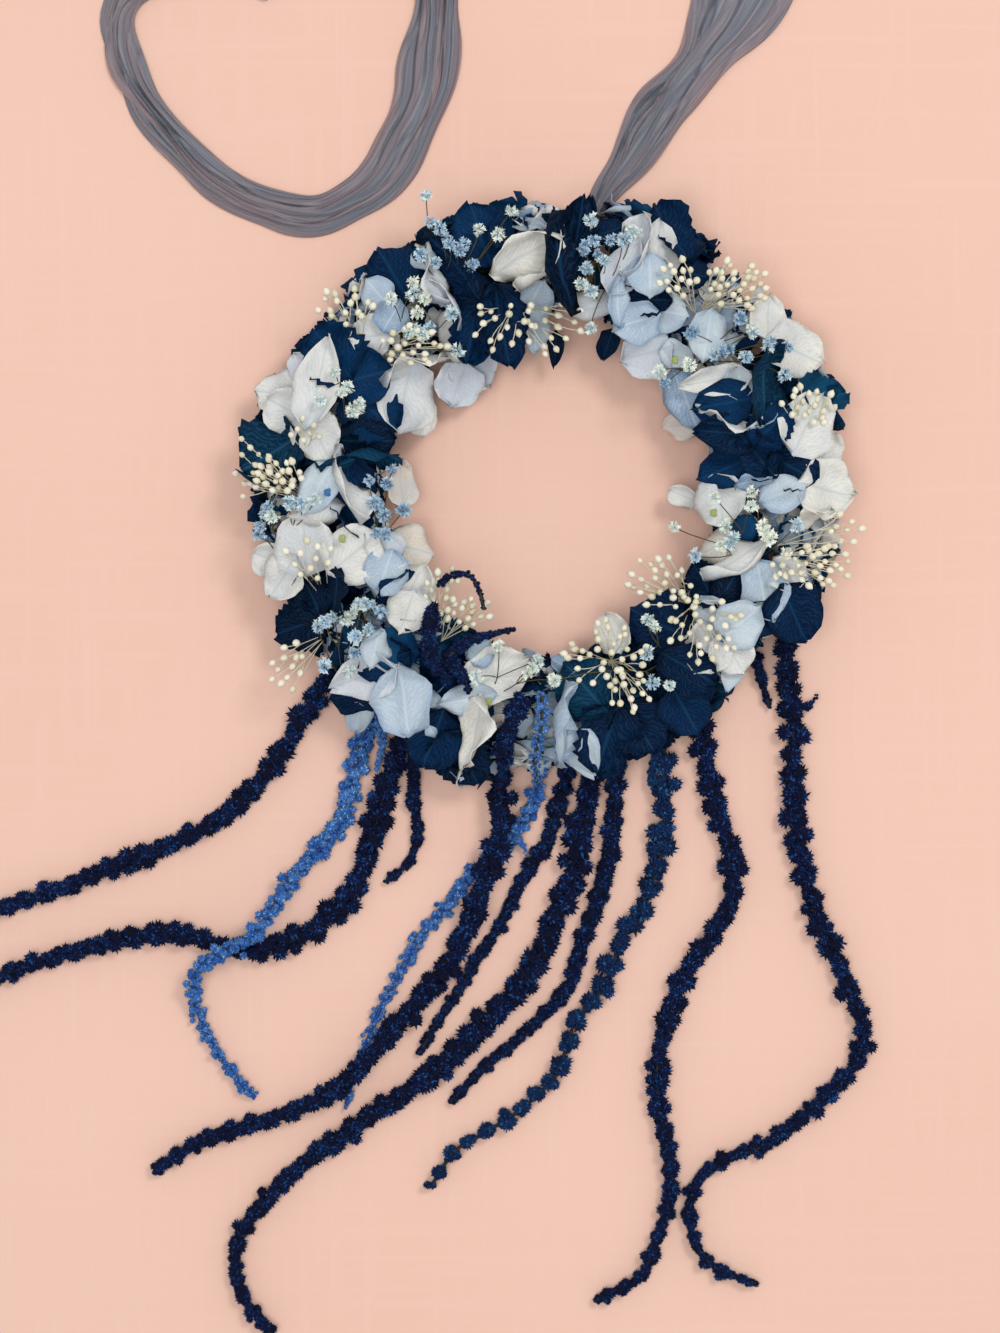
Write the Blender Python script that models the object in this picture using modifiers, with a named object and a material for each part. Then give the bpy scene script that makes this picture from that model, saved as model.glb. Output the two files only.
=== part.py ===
"""Flower crown: a wire hoop bound with floral tape, bunches of preserved hydrangea bound to it all
round, sprays of ball buds and baby's breath on top, hanging amaranth strands along the front and a
silk ribbon tied at the back.

Units are metres. +Z points up out of the surface that the crown lies on. The origin is the centre
of the hoop, on that surface. +Y points at the ribbon, and -Y at the hanging strands.
"""
import math

import bmesh
import bpy
from mathutils import Matrix, Vector

MM = 0.001

# Hoop: a paper-covered wire whose ends lie side by side, wound with tape over the flower stems
HOOP_RADIUS = 92.5 * MM          # centreline, for a head of 58 cm
WIRE_RADIUS = 1.0 * MM
WIRE_OVERLAP_DEG = 18            # the wire's two ends run side by side for this much of the hoop
WIRE_CLEARANCE = 0.9 * MM        # between the doubled wire and the tape around it
WIRE_POINTS = 56
TAPE_WALL = 1.2 * MM             # wound tape with the flattened stems in it
TAPE_FLAT_HALF = 1.8 * MM        # half the width of the flat that the crown rests on
TAPE_SIDES = 10
TAPE_STEPS = 44

# Ribbon: tied round the bare wire, in the one place that the tape and the flowers leave open
RIBBON_DEG = 80.5                # where the ribbon is tied, anticlockwise from +X
KNOT_LENGTH = 8.0 * MM
KNOT_WALL = 1.6 * MM
TAIL_RADIUS = 4.0 * MM           # a gathered silk tail
TAIL_NECK = 0.55                 # share of that radius where the tail leaves the knot
TAIL_SPACING = 20.0 * MM

# Flower bunches: saddles that sit over the tape, with a channel for it in the underside
CHANNEL_CLEARANCE = 1.4 * MM
BUNCH_LIFT = 1.0 * MM            # the lowest petals clear the surface by this much
BUNCH_GAP_DEG = 0.5              # between neighbouring bunches
BUNCH_STEPS = 4
BUNCH_TAPER = 0.14               # how much a bunch narrows at its two ends
BUNCH_HEIGHT = 34.0 * MM
SHOULDER_REACH = 0.55            # a bunch's shoulder, as a share of its reach
SHOULDER_HEIGHT = 0.88           # and of its height

# Sprays: flat domes that lie on the bunches, level on top and sloping off past the shoulders
SPRAY_HALF_HEIGHT = 7.0 * MM
SPRAY_SLOPE = math.radians(28)
GAP = 0.3 * MM                   # between pieces that touch

# Hanging strands
STRAND_SPACING = 15.0 * MM       # between the points of a strand's tube
STRAND_CLEARANCE = 0.2 * MM      # between a strand and the surface it lies on
STEM_SHARE = 0.45                # a strand's radius at the crown, as a share of its fullest
TIP_SHARE = 0.5                  # and at its tip
FULL_FROM = 0.18                 # share of the length where a strand is at its fullest
HINGE_HEIGHT = 5.0 * MM

TAPE_BORE = 2 * WIRE_RADIUS + WIRE_CLEARANCE
TAPE_RADIUS = TAPE_BORE + TAPE_WALL
HOOP_HEIGHT = math.sqrt(TAPE_RADIUS ** 2 - TAPE_FLAT_HALF ** 2)
CHANNEL_HALF = TAPE_RADIUS + CHANNEL_CLEARANCE

NAVY = (0.008, 0.025, 0.065)
INDIGO = (0.006, 0.010, 0.045)
TEAL = (0.008, 0.035, 0.090)
PALE = (0.42, 0.52, 0.68)
WHITE = (0.78, 0.78, 0.75)
MID_BLUE = (0.09, 0.22, 0.50)
CREAM = (0.85, 0.81, 0.66)
BREATH = (0.60, 0.72, 0.78)

# name, first and last degree round the hoop, reach inward and outward from the hoop in mm, colour
BUNCHES = [
    ("hydrangea_pale_right_back", 41, 57, 22, 25, PALE),
    ("hydrangea_navy_right_back", 57, 76.2, 20, 32, NAVY),
    ("hydrangea_white_back", 84.8, 98, 20, 27, WHITE),
    ("hydrangea_navy_back", 98, 118, 24, 29, NAVY),
    ("hydrangea_navy_left_back", 118, 137, 23, 27, NAVY),
    ("hydrangea_white_left_back", 137, 148, 24, 26, WHITE),
    ("hydrangea_navy_left_high", 148, 158, 20, 28, NAVY),
    ("hydrangea_white_left", 158, 170, 20, 34, WHITE),
    ("hydrangea_teal_left", 170, 186, 24, 35, TEAL),
    ("hydrangea_white_left_low", 186, 202, 24, 33, WHITE),
    ("hydrangea_navy_left_low", 202, 216, 24, 31, NAVY),
    ("hydrangea_speckled_front_left", 216, 234, 22, 27, PALE),
    ("hydrangea_navy_front_left", 234, 246, 24, 27, NAVY),
    ("hydrangea_navy_front_edge", 246, 257, 20, 40, NAVY),
    ("hydrangea_white_front", 257, 268, 22, 30, WHITE),
    ("hydrangea_pale_front", 268, 279, 20, 30, PALE),
    ("hydrangea_navy_front", 279, 294, 20, 30, NAVY),
    ("hydrangea_navy_front_right", 294, 309, 23, 29, NAVY),
    ("hydrangea_white_front_right", 309, 328, 23, 22, WHITE),
    ("hydrangea_navy_right_low", 328, 345, 22, 34, NAVY),
    ("hydrangea_white_right", 345, 372, 24, 34, WHITE),
    ("hydrangea_teal_right_high", 12, 27, 24, 36, TEAL),
    ("hydrangea_white_right_high", 27, 41, 20, 35, WHITE),
]

# name, degrees round the hoop, how far its middle is outside the hoop and half its length along the
# radius in mm, half its width in degrees of the hoop, colour
SPRAYS = [
    ("bud_spray_left_back", 142, 19.5, 13, 6.1, CREAM),
    ("bud_spray_back", 102, -13.5, 10, 9.4, CREAM),
    ("bud_spray_left", 179, 28, 14, 5.2, CREAM),
    ("bud_spray_left_low", 197, 9.5, 10, 5.1, CREAM),
    ("bud_spray_front_left_edge", 208.5, 23.5, 9, 4.4, CREAM),
    ("bud_spray_front_left_inner", 226, -14.5, 9, 7.3, CREAM),
    ("bud_spray_right_back", 52, 20.5, 12, 9.1, CREAM),
    ("bud_spray_right", 347, 28.5, 16, 7.1, CREAM),
    ("bud_spray_front_right", 315, -12.5, 11, 12.2, CREAM),
    ("bud_spray_front", 286, -11.5, 11, 9.9, CREAM),
    ("breath_spray_back_left", 110, 28.5, 14, 5.7, BREATH),
    ("breath_spray_back_right", 70, 8.5, 11, 5.7, BREATH),
    ("breath_spray_right_back", 37, -2.5, 9, 10.2, BREATH),
    ("breath_spray_left_inner", 185, -14.5, 9, 8.8, BREATH),
    ("breath_spray_front_left", 221, 8.5, 8, 5.1, BREATH),
    ("breath_spray_front", 261, -14.5, 9.5, 7.3, BREATH),
    ("breath_spray_right", 348, -7.5, 10, 9.4, BREATH),
    ("amaranth_tuft_front_left", 243, -12.5, 12, 7.9, INDIGO),
    ("amaranth_tuft_front", 263, 15, 14, 5.3, INDIGO),
]

# Each bundle of strands turns about a line along X where it leaves the flowers: the degree round
# the hoop and how far outside the hoop it is, in mm. Each strand has a name, its fullest radius in mm,
# a colour and its route on the surface: x, y and the height of its underside, in mm.
BUNDLES = {
    "left": (222, 28, [
        ("amaranth_strand_left", 5.5, INDIGO, [
            (-93, -81, 2), (-108, -106, 0), (-118, -121, 0), (-129, -133, 0), (-141, -143, 0),
            (-162, -154, 0), (-191, -165, 0), (-220, -176, 0), (-233, -180, 0), (-258, -190, 0),
            (-288, -208, 0)]),
    ]),
    "left_front": (237, 26.5, [
        ("amaranth_strand_left_front", 5.8, INDIGO, [
            (-63, -113, 2), (-70, -133, 0), (-74, -149, 0), (-80, -166, 0), (-88, -179, 0),
            (-102, -190, 0), (-116, -196, 0), (-129, -197, 0), (-142, -195, 0), (-155, -191, 0),
            (-168, -191, 0), (-194, -196, 0), (-220, -204, 0), (-233, -209, 0), (-258, -220, 0),
            (-284, -236, 0)]),
        ("amaranth_strand_left_front_loop", 3.6, INDIGO, [
            (-57, -117, 2), (-57, -136, 0), (-55, -148, 0), (-59, -160, 0), (-69, -169, 0)]),
        ("amaranth_strand_light_blue_left", 4.0, MID_BLUE, [
            (-75, -101, 2), (-81, -116, 0), (-84, -132, 0), (-90, -147, 0), (-104, -162, 2),
            (-112, -173, 8), (-119, -183, 14), (-127, -193, 14), (-142, -200, 14),
            (-149, -208, 9), (-149, -222, 0), (-142, -238, 0), (-131, -253, 0),
            (-124, -260, 0)]),
    ]),
    "front": (265, 32, [
        ("amaranth_strand_front_left", 5.8, INDIGO, [
            (-20, -126, 2), (-20, -140, 7), (-22, -154, 8), (-28, -171, 7), (-34, -188, 1),
            (-41, -202, 0), (-50, -214, 0), (-61, -226, 2), (-72, -238, 7), (-82, -249, 7),
            (-93, -258, 4), (-110, -266, 0), (-127, -272, 0), (-148, -279, 0), (-167, -291, 0)]),
        ("amaranth_strand_light_blue_front", 3.0, MID_BLUE, [
            (-4, -126, 2), (-7, -137, 0), (-13, -147, 0), (-22, -157, 0), (-33, -166, 0),
            (-43, -179, 0), (-53, -190, 0), (-61, -204, 0), (-67, -215, 0), (-72, -224, 0),
            (-77, -237, 0), (-82, -250, 0), (-86, -265, 0)]),
        ("amaranth_strand_front_inner", 3.8, INDIGO, [
            (7, -126, 2), (0, -150, 0), (-7, -161, 0), (-15, -176, 0), (-21, -188, 0),
            (-30, -201, 0), (-38, -215, 0), (-48, -230, 0), (-55, -242, 0)]),
        ("amaranth_strand_front_long", 5.8, INDIGO, [
            (18, -125, 2), (12, -154, 0), (9, -171, 0), (3, -184, 0), (-4, -200, 0),
            (-11, -212, 0), (-21, -223, 0), (-31, -233, 0), (-40, -242, 0), (-51, -251, 0),
            (-63, -260, 0), (-75, -268, 0), (-93, -280, 0), (-105, -289, 0), (-120, -304, 0),
            (-131, -319, 0), (-132, -336, 0), (-125, -351, 0), (-116, -359, 0)]),
        ("amaranth_strand_front_outer", 4.4, INDIGO, [
            (29, -123, 2), (27, -150, 0), (24, -167, 0), (18, -184, 0), (12, -202, 0),
            (8, -214, 0), (-2, -225, 0), (-15, -237, 0), (-28, -248, 0), (-41, -262, 0)]),
    ]),
    "front_right": (296, 26.5, [
        ("amaranth_strand_teal", 6.0, TEAL, [
            (49, -117, 2), (49, -136, 0), (49, -151, 0), (45, -167, 0), (40, -178, 0),
            (33, -189, 0), (27, -204, 0), (22, -215, 0), (11, -229, 0), (4, -249, 0),
            (-7, -261, 0), (-16, -268, 0), (-29, -276, 0), (-40, -283, 0), (-50, -298, 0)]),
        ("amaranth_strand_right_front", 5.6, INDIGO, [
            (65, -108, 2), (69, -126, 0), (71, -138, 0), (76, -151, 0), (79, -164, 0),
            (77, -178, 0), (67, -195, 0), (58, -207, 0), (53, -219, 0), (48, -236, 0),
            (46, -250, 0), (47, -267, 0), (51, -283, 0), (51, -304, 0), (45, -323, 0),
            (39, -336, 0), (20, -346, 0)]),
    ]),
    "right": (324, 23.5, [
        ("amaranth_strand_right", 5.6, INDIGO, [
            (100, -69, 2), (102, -88, 0), (104, -97, 0), (104, -108, 0), (104, -126, 0),
            (105, -142, 0), (108, -161, 0), (113, -181, 0), (122, -201, 0), (128, -216, 0),
            (133, -227, 0), (133, -240, 0), (126, -251, 0), (116, -261, 0), (103, -272, 0),
            (92, -280, 0), (77, -285, 0), (65, -293, 0), (60, -306, 0), (62, -321, 0),
            (71, -332, 0), (88, -339, 0)]),
        ("amaranth_strand_right_short", 3.4, INDIGO, [
            (89, -77, 2), (91, -85, 0), (94, -95, 0)]),
    ]),
}

# The ribbon's middle line on the surface, x and y in mm: its two tails lie on each side of it
RIBBON_ROUTE = [
    (22, 117), (36, 139), (51, 164), (66, 185), (81, 206), (92, 232), (88, 260), (65, 283),
    (31, 293), (-7, 287), (-34, 264), (-47, 236), (-49, 206), (-50, 181), (-55, 160), (-67, 134),
    (-84, 119), (-101, 113), (-125, 119), (-148, 134), (-167, 155), (-180, 178), (-182, 198),
    (-170, 212), (-146, 218), (-118, 214)]


def clear_scene():
    """Remove every object, so that the crown is all there is."""
    for obj in list(bpy.data.objects):
        bpy.data.objects.remove(obj, do_unlink=True)


def material(name, colour, roughness):
    """A plain material with the piece's colour."""
    mat = bpy.data.materials.new(name)
    mat.use_nodes = True
    shader = mat.node_tree.nodes["Principled BSDF"]
    shader.inputs["Base Color"].default_value = (*colour, 1.0)
    shader.inputs["Roughness"].default_value = roughness
    shader.inputs["Metallic"].default_value = 0.0
    return mat


def add_object(name, data, mat, parts, parent=None):
    """Put data into the crown's collection as a named object, under parent if there is one."""
    obj = bpy.data.objects.new(name, data)
    parts.objects.link(obj)
    data.materials.append(mat)
    if parent:
        obj.parent = parent
    return obj


def polar(degrees, radius, height=0.0):
    """A point at this angle round the hoop and this distance from its centre."""
    angle = math.radians(degrees)
    return Vector((radius * math.cos(angle), radius * math.sin(angle), height))


def smooth_route(points, spacing):
    """Points at about this spacing along a smooth curve through the given ones."""
    ends = [2 * points[0] - points[1]] + points + [2 * points[-1] - points[-2]]
    dense = []
    for before, start, end, after in zip(ends, ends[1:], ends[2:], ends[3:]):
        for step in range(12):
            t = step / 12
            dense.append(0.5 * (2 * start + (end - before) * t
                                + (2 * before - 5 * start + 4 * end - after) * t ** 2
                                + (3 * start - before - 3 * end + after) * t ** 3))
    dense.append(points[-1])
    lengths = [0.0]
    for a, b in zip(dense, dense[1:]):
        lengths.append(lengths[-1] + (b - a).length)
    count = max(2, round(lengths[-1] / spacing))
    route = []
    for i in range(count + 1):
        target = lengths[-1] * i / count
        k = next((k for k in range(1, len(lengths)) if lengths[k] >= target), len(lengths) - 1)
        share = (target - lengths[k - 1]) / (lengths[k] - lengths[k - 1])
        route.append(dense[k - 1].lerp(dense[k], min(max(share, 0.0), 1.0)))
    return route


def tube(name, points, radii, mat, parts, parent=None):
    """A round tube along points, with its own radius at each of them."""
    curve = bpy.data.curves.new(name, "CURVE")
    curve.dimensions = "3D"
    curve.bevel_depth = max(radii)
    curve.bevel_resolution = 2
    curve.render_resolution_u = 0
    curve.use_fill_caps = True
    spline = curve.splines.new("POLY")
    spline.points.add(len(points) - 1)
    for knot, point, radius in zip(spline.points, points, radii):
        knot.co = (*point, 1.0)
        knot.radius = radius / curve.bevel_depth
    return add_object(name, curve, mat, parts, parent)


def base_wire(parts):
    """One length of wire bent to a ring, its ends side by side at the front, inside the tape."""
    half_turn = math.radians(360 + WIRE_OVERLAP_DEG) / 2
    middle = math.radians(RIBBON_DEG)
    points = []
    for i in range(WIRE_POINTS + 1):
        share = 2 * i / WIRE_POINTS - 1
        offset = (WIRE_RADIUS + GAP / 2) * share
        points.append(polar(math.degrees(middle + half_turn * share),
                            HOOP_RADIUS + offset, HOOP_HEIGHT))
    radii = [WIRE_RADIUS] * len(points)
    tube("base_wire", points, radii, material("paper_wire", (0.20, 0.26, 0.14), 0.8), parts)


def stem_tape(parts):
    """The wound tape, open where the ribbon is tied. Its underside is flat, to rest on."""
    opening = math.degrees((KNOT_LENGTH + 2 * GAP) / HOOP_RADIUS)
    flat_angle = math.asin(TAPE_FLAT_HALF / TAPE_RADIUS)
    outline = []
    for i in range(TAPE_SIDES):
        angle = -math.pi / 2 + flat_angle + (2 * math.pi - 2 * flat_angle) * i / (TAPE_SIDES - 1)
        outline.append((HOOP_RADIUS + TAPE_RADIUS * math.cos(angle), 0.0,
                        HOOP_HEIGHT + TAPE_RADIUS * math.sin(angle)))
    outline.reverse()
    mesh = bpy.data.meshes.new("stem_tape")
    edges = [(i, (i + 1) % TAPE_SIDES) for i in range(TAPE_SIDES)]
    mesh.from_pydata(outline, edges, [])
    obj = add_object("stem_tape", mesh, material("floral_tape", (0.08, 0.12, 0.05), 0.7), parts)
    obj.rotation_euler.z = math.radians(RIBBON_DEG + opening / 2)
    screw = obj.modifiers.new("wind", "SCREW")
    screw.axis = "Z"
    screw.angle = math.radians(360 - opening)
    screw.steps = TAPE_STEPS
    screw.render_steps = TAPE_STEPS
    screw.use_merge_vertices = False
    solidify = obj.modifiers.new("wall", "SOLIDIFY")
    solidify.thickness = TAPE_WALL
    solidify.offset = -1.0
    solidify.use_even_offset = True


def ribbon_knot(parts):
    """The ribbon's turns round the bare wire: a short sleeve in the opening of the tape."""
    bore = WIRE_RADIUS + WIRE_CLEARANCE
    profile = [(bore + KNOT_WALL, 0.0, KNOT_LENGTH / 2), (bore + KNOT_WALL, 0.0, -KNOT_LENGTH / 2)]
    mesh = bpy.data.meshes.new("ribbon_knot")
    mesh.from_pydata(profile, [(0, 1)], [])
    obj = add_object("ribbon_knot", mesh, material("silk_knot", (0.18, 0.18, 0.22), 0.6), parts)
    obj.location = polar(RIBBON_DEG, HOOP_RADIUS, HOOP_HEIGHT)
    obj.rotation_euler = (math.radians(90), 0.0, math.radians(RIBBON_DEG))
    screw = obj.modifiers.new("turn", "SCREW")
    screw.axis = "Z"
    screw.steps = 12
    screw.render_steps = 12
    screw.use_merge_vertices = True
    screw.merge_threshold = 0.00005
    solidify = obj.modifiers.new("wall", "SOLIDIFY")
    solidify.thickness = KNOT_WALL
    solidify.offset = -1.0
    solidify.use_even_offset = True


def ribbon_tails(parts):
    """The ribbon's two gathered tails, side by side all the way from the knot."""
    knot_edge = HOOP_RADIUS + WIRE_RADIUS + WIRE_CLEARANCE + KNOT_WALL
    start = knot_edge + TAIL_RADIUS * TAIL_NECK + GAP
    line = [polar(RIBBON_DEG, start)]
    line += [Vector((x * MM, y * MM, 0.0)) for x, y in RIBBON_ROUTE]
    route = smooth_route(line, TAIL_SPACING)
    silk = material("silk_ribbon", (0.18, 0.18, 0.22), 0.6)
    for name, side in (("ribbon_tail_left", 1), ("ribbon_tail_right", -1)):
        points = []
        radii = []
        for i, point in enumerate(route):
            ahead = route[min(i + 1, len(route) - 1)] - route[max(i - 1, 0)]
            across = Vector((-ahead.y, ahead.x, 0.0)).normalized()
            radius = TAIL_RADIUS * (TAIL_NECK + (1 - TAIL_NECK) * min(1.0, i / 4))
            offset = side * (radius + GAP)
            height = Vector((0.0, 0.0, radius + STRAND_CLEARANCE))
            points.append(point + across * offset + height)
            radii.append(radius)
        tube(name, points, radii, silk, parts)


def saddle_outline(inward, outward):
    """Half-section of a bunch: distance from the crown's centre and height, as a closed line."""
    inner = HOOP_RADIUS - inward
    outer = HOOP_RADIUS + outward
    channel_top = HOOP_HEIGHT + CHANNEL_HALF
    return [
        (HOOP_RADIUS - CHANNEL_HALF, BUNCH_LIFT), (inner + 0.25 * inward, BUNCH_LIFT),
        (inner, 0.22 * BUNCH_HEIGHT), (inner + 0.06 * inward, 0.55 * BUNCH_HEIGHT),
        (HOOP_RADIUS - SHOULDER_REACH * inward, SHOULDER_HEIGHT * BUNCH_HEIGHT),
        (HOOP_RADIUS, BUNCH_HEIGHT),
        (HOOP_RADIUS + SHOULDER_REACH * outward, SHOULDER_HEIGHT * BUNCH_HEIGHT),
        (outer - 0.06 * outward, 0.55 * BUNCH_HEIGHT),
        (outer, 0.22 * BUNCH_HEIGHT), (outer - 0.25 * outward, BUNCH_LIFT),
        (HOOP_RADIUS + CHANNEL_HALF, BUNCH_LIFT), (HOOP_RADIUS + CHANNEL_HALF, channel_top),
        (HOOP_RADIUS - CHANNEL_HALF, channel_top)]


def flower_bunch(name, first, last, inward, outward, colour, parts):
    """A bunch of hydrangea: its section turned through its share of the hoop, narrower at both
    ends and scalloped between them."""
    bm = bmesh.new()
    start = math.radians(first + BUNCH_GAP_DEG / 2)
    sweep = math.radians(last - first - BUNCH_GAP_DEG)
    verts = []
    for radius, height in saddle_outline(inward * MM, outward * MM):
        verts.append(bm.verts.new(polar(math.degrees(start), radius, height)))
    edges = [bm.edges.new(pair) for pair in zip(verts, verts[1:] + verts[:1])]
    bmesh.ops.spin(bm, geom=verts + edges, axis=(0, 0, 1), cent=(0, 0, 0), angle=sweep,
                   steps=BUNCH_STEPS, use_merge=False, use_duplicate=False)
    bmesh.ops.holes_fill(bm, edges=bm.edges[:], sides=0)
    for vert in bm.verts:
        radius = math.hypot(vert.co.x, vert.co.y)
        angle = math.atan2(vert.co.y, vert.co.x)
        share = ((angle - start) % (2 * math.pi)) / sweep
        if share > 2:
            share = 0.0
        swell = 1 - BUNCH_TAPER * (2 * share - 1) ** 2
        reach = HOOP_RADIUS + (radius - HOOP_RADIUS) * swell
        height = HOOP_HEIGHT + (vert.co.z - HOOP_HEIGHT) * swell
        vert.co = polar(math.degrees(angle), reach, height)
    bmesh.ops.recalc_face_normals(bm, faces=bm.faces[:])
    if bm.calc_volume(signed=True) < 0:
        bmesh.ops.reverse_faces(bm, faces=bm.faces[:])
    mesh = bpy.data.meshes.new(name)
    bm.to_mesh(mesh)
    bm.free()
    add_object(name, mesh, material(name, colour, 0.75), parts)


def seat(offset):
    """Height and slope of a spray whose middle is this far outside the hoop: it lies level, or it
    rests on the shoulder of the widest bunch, whichever is lower."""
    reach = max(bunch[4] if offset > 0 else bunch[3] for bunch in BUNCHES) * MM * SHOULDER_REACH
    level = BUNCH_HEIGHT + SPRAY_HALF_HEIGHT + GAP
    sloping = (SHOULDER_HEIGHT * BUNCH_HEIGHT + (reach - abs(offset)) * math.tan(SPRAY_SLOPE)
               + (SPRAY_HALF_HEIGHT + 4 * GAP) / math.cos(SPRAY_SLOPE))
    if sloping > level:
        return level, 0.0
    return sloping, math.copysign(SPRAY_SLOPE, offset)


def spray(name, degrees, offset, along, half_width, colour, parts):
    """A spray of buds or florets, or an amaranth tuft: a dome of its size on top of the bunches."""
    bm = bmesh.new()
    bmesh.ops.create_icosphere(bm, subdivisions=2, radius=1.0)
    middle = HOOP_RADIUS + offset * MM
    across = middle * math.radians(half_width)
    size = Matrix.Diagonal((along * MM, across, SPRAY_HALF_HEIGHT, 1.0))
    bmesh.ops.transform(bm, matrix=size, verts=bm.verts)
    mesh = bpy.data.meshes.new(name)
    bm.to_mesh(mesh)
    bm.free()
    obj = add_object(name, mesh, material(name, colour, 0.8), parts)
    height, slope = seat(offset * MM)
    obj.location = polar(degrees, middle, height)
    obj.rotation_euler = (0.0, slope, math.radians(degrees))


def strand_radius(share, fullest):
    """A strand's radius at this share of its length: thin stem, full blossom, tapering tip."""
    if share < FULL_FROM:
        return fullest * (STEM_SHARE + (1 - STEM_SHARE) * share / FULL_FROM)
    fade = (share - FULL_FROM) / (1 - FULL_FROM)
    return fullest * (1 - (1 - TIP_SHARE) * fade ** 2)


def strand(name, fullest, colour, route, hinge, parts):
    """An amaranth strand: a tube that lies on the surface along its route."""
    points = smooth_route([Vector(p) * MM for p in route], STRAND_SPACING)
    radii = [strand_radius(i / (len(points) - 1), fullest * MM) for i in range(len(points))]
    placed = []
    for point, radius in zip(points, radii):
        height = max(point.z, 0.0) + radius + STRAND_CLEARANCE
        placed.append(Vector((point.x, point.y, height)) - hinge.location)
    tube(name, placed, radii, material(name, colour, 0.9), parts, hinge)


def strand_bundles(parts):
    """Each bundle's strands, under an empty on the line that they turn about."""
    for name, (degrees, distance, strands) in BUNDLES.items():
        hinge = bpy.data.objects.new("hinge_" + name, None)
        hinge.location = polar(degrees, HOOP_RADIUS + distance * MM, HINGE_HEIGHT)
        parts.objects.link(hinge)
        for strand_name, fullest, colour, route in strands:
            strand(strand_name, fullest, colour, route, hinge, parts)


def build():
    clear_scene()
    parts = bpy.data.collections.new("flower_crown")
    bpy.context.scene.collection.children.link(parts)
    base_wire(parts)
    stem_tape(parts)
    ribbon_knot(parts)
    ribbon_tails(parts)
    for bunch in BUNCHES:
        flower_bunch(*bunch, parts)
    for dome in SPRAYS:
        spray(*dome, parts)
    strand_bundles(parts)
    bpy.context.view_layer.update()


build()
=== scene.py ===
"""A flower crown laid flat: a taped wire hoop under preserved hydrangea, ball buds and baby's
breath, with amaranth strands hanging at the front and a gathered silk ribbon tied at the back.

Lengths are in metres and the frame is the crown's own: +Z up off the surface that it lies on,
+Y towards the ribbon, -Y towards the strands.
"""
import math

import bmesh
import bpy
import numpy as np
from mathutils import Matrix, Vector, noise


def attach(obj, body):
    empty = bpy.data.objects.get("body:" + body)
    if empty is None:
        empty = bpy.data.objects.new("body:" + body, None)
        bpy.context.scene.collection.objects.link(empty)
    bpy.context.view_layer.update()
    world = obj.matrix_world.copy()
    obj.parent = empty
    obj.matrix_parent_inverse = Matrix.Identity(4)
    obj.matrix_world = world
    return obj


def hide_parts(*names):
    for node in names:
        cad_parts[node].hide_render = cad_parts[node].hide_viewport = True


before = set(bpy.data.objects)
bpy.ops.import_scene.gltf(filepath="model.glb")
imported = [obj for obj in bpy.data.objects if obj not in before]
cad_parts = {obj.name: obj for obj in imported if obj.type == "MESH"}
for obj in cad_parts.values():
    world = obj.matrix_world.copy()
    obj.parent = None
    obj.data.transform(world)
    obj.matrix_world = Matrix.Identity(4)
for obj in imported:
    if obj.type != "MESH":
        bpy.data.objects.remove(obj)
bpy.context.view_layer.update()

MM = 0.001
CHANCE = np.random.default_rng(7)

HOOP_RADIUS = 92.5 * MM
WIRE_HEIGHT = 4.2 * MM
LOWEST = 0.3 * MM                # everything lies on the surface
HIGHEST = 59.0 * MM
RIBBON_DEG = 80.5
VIEW_HEIGHT = 0.5665             # of the floor that the camera takes in
CAMERA_HEIGHT = 1.2
CAMERA_X = -20.4 * MM
CAMERA_Y = -77.4 * MM
FULL_TURN = 6.283
GOLDEN_TURN = 2.39996            # spreads points evenly round a ball
FLORET_TURN = 2.4
ROOT_DEPTH = 6 * MM              # of a spray's stems, down among the petals


# ---------------------------------------------------------------- camera, floor and light

def camera():
    """Straight above, with the crown in the upper part of the view."""
    data = bpy.data.cameras.new("camera")
    data.sensor_width = 36.0
    data.lens = 36.0 * CAMERA_HEIGHT / VIEW_HEIGHT
    obj = bpy.data.objects.new("camera", data)
    bpy.context.collection.objects.link(obj)
    obj.location = (CAMERA_X, CAMERA_Y, CAMERA_HEIGHT)
    bpy.context.scene.camera = obj


def area_light(name, place, aim, size, power, colour):
    """A soft box at place, turned to aim."""
    data = bpy.data.lights.new(name, "AREA")
    data.shape = "DISK"
    data.size = size
    data.energy = power
    data.color = colour
    obj = bpy.data.objects.new(name, data)
    bpy.context.collection.objects.link(obj)
    obj.location = place
    turn = (Vector(aim) - Vector(place)).to_track_quat("-Z", "Y")
    obj.rotation_euler = turn.to_euler()


def studio():
    """Window-soft light from the upper right, a weak fill and an even surround."""
    scene = bpy.context.scene
    scene.view_settings.view_transform = "Standard"
    world = bpy.data.worlds.new("surround")
    world.use_nodes = True
    back = world.node_tree.nodes["Background"]
    back.inputs["Color"].default_value = (0.97, 0.98, 1.0, 1.0)
    back.inputs["Strength"].default_value = 0.5
    scene.world = world
    area_light("key_light", (0.75, 0.7, 1.8), (0, -0.05, 0), 0.6, 12.5, (1.0, 0.98, 0.96))
    area_light("fill_light", (-0.25, -0.25, 1.8), (0, -0.05, 0), 1.0, 12.0, (1.0, 0.98, 0.97))


# ---------------------------------------------------------------- node helpers

def new_group(name, inputs, outputs):
    """An empty node group with these sockets: (name, kind, default) in, (name, kind) out."""
    group = bpy.data.node_groups.new(name, "ShaderNodeTree")
    for label, kind, default in inputs:
        socket = group.interface.new_socket(label, in_out="INPUT", socket_type="NodeSocket" + kind)
        if default is not None:
            socket.default_value = default
    for label, kind in outputs:
        group.interface.new_socket(label, in_out="OUTPUT", socket_type="NodeSocket" + kind)
    return group, group.nodes.new("NodeGroupInput").outputs, group.nodes.new("NodeGroupOutput").inputs


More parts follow.
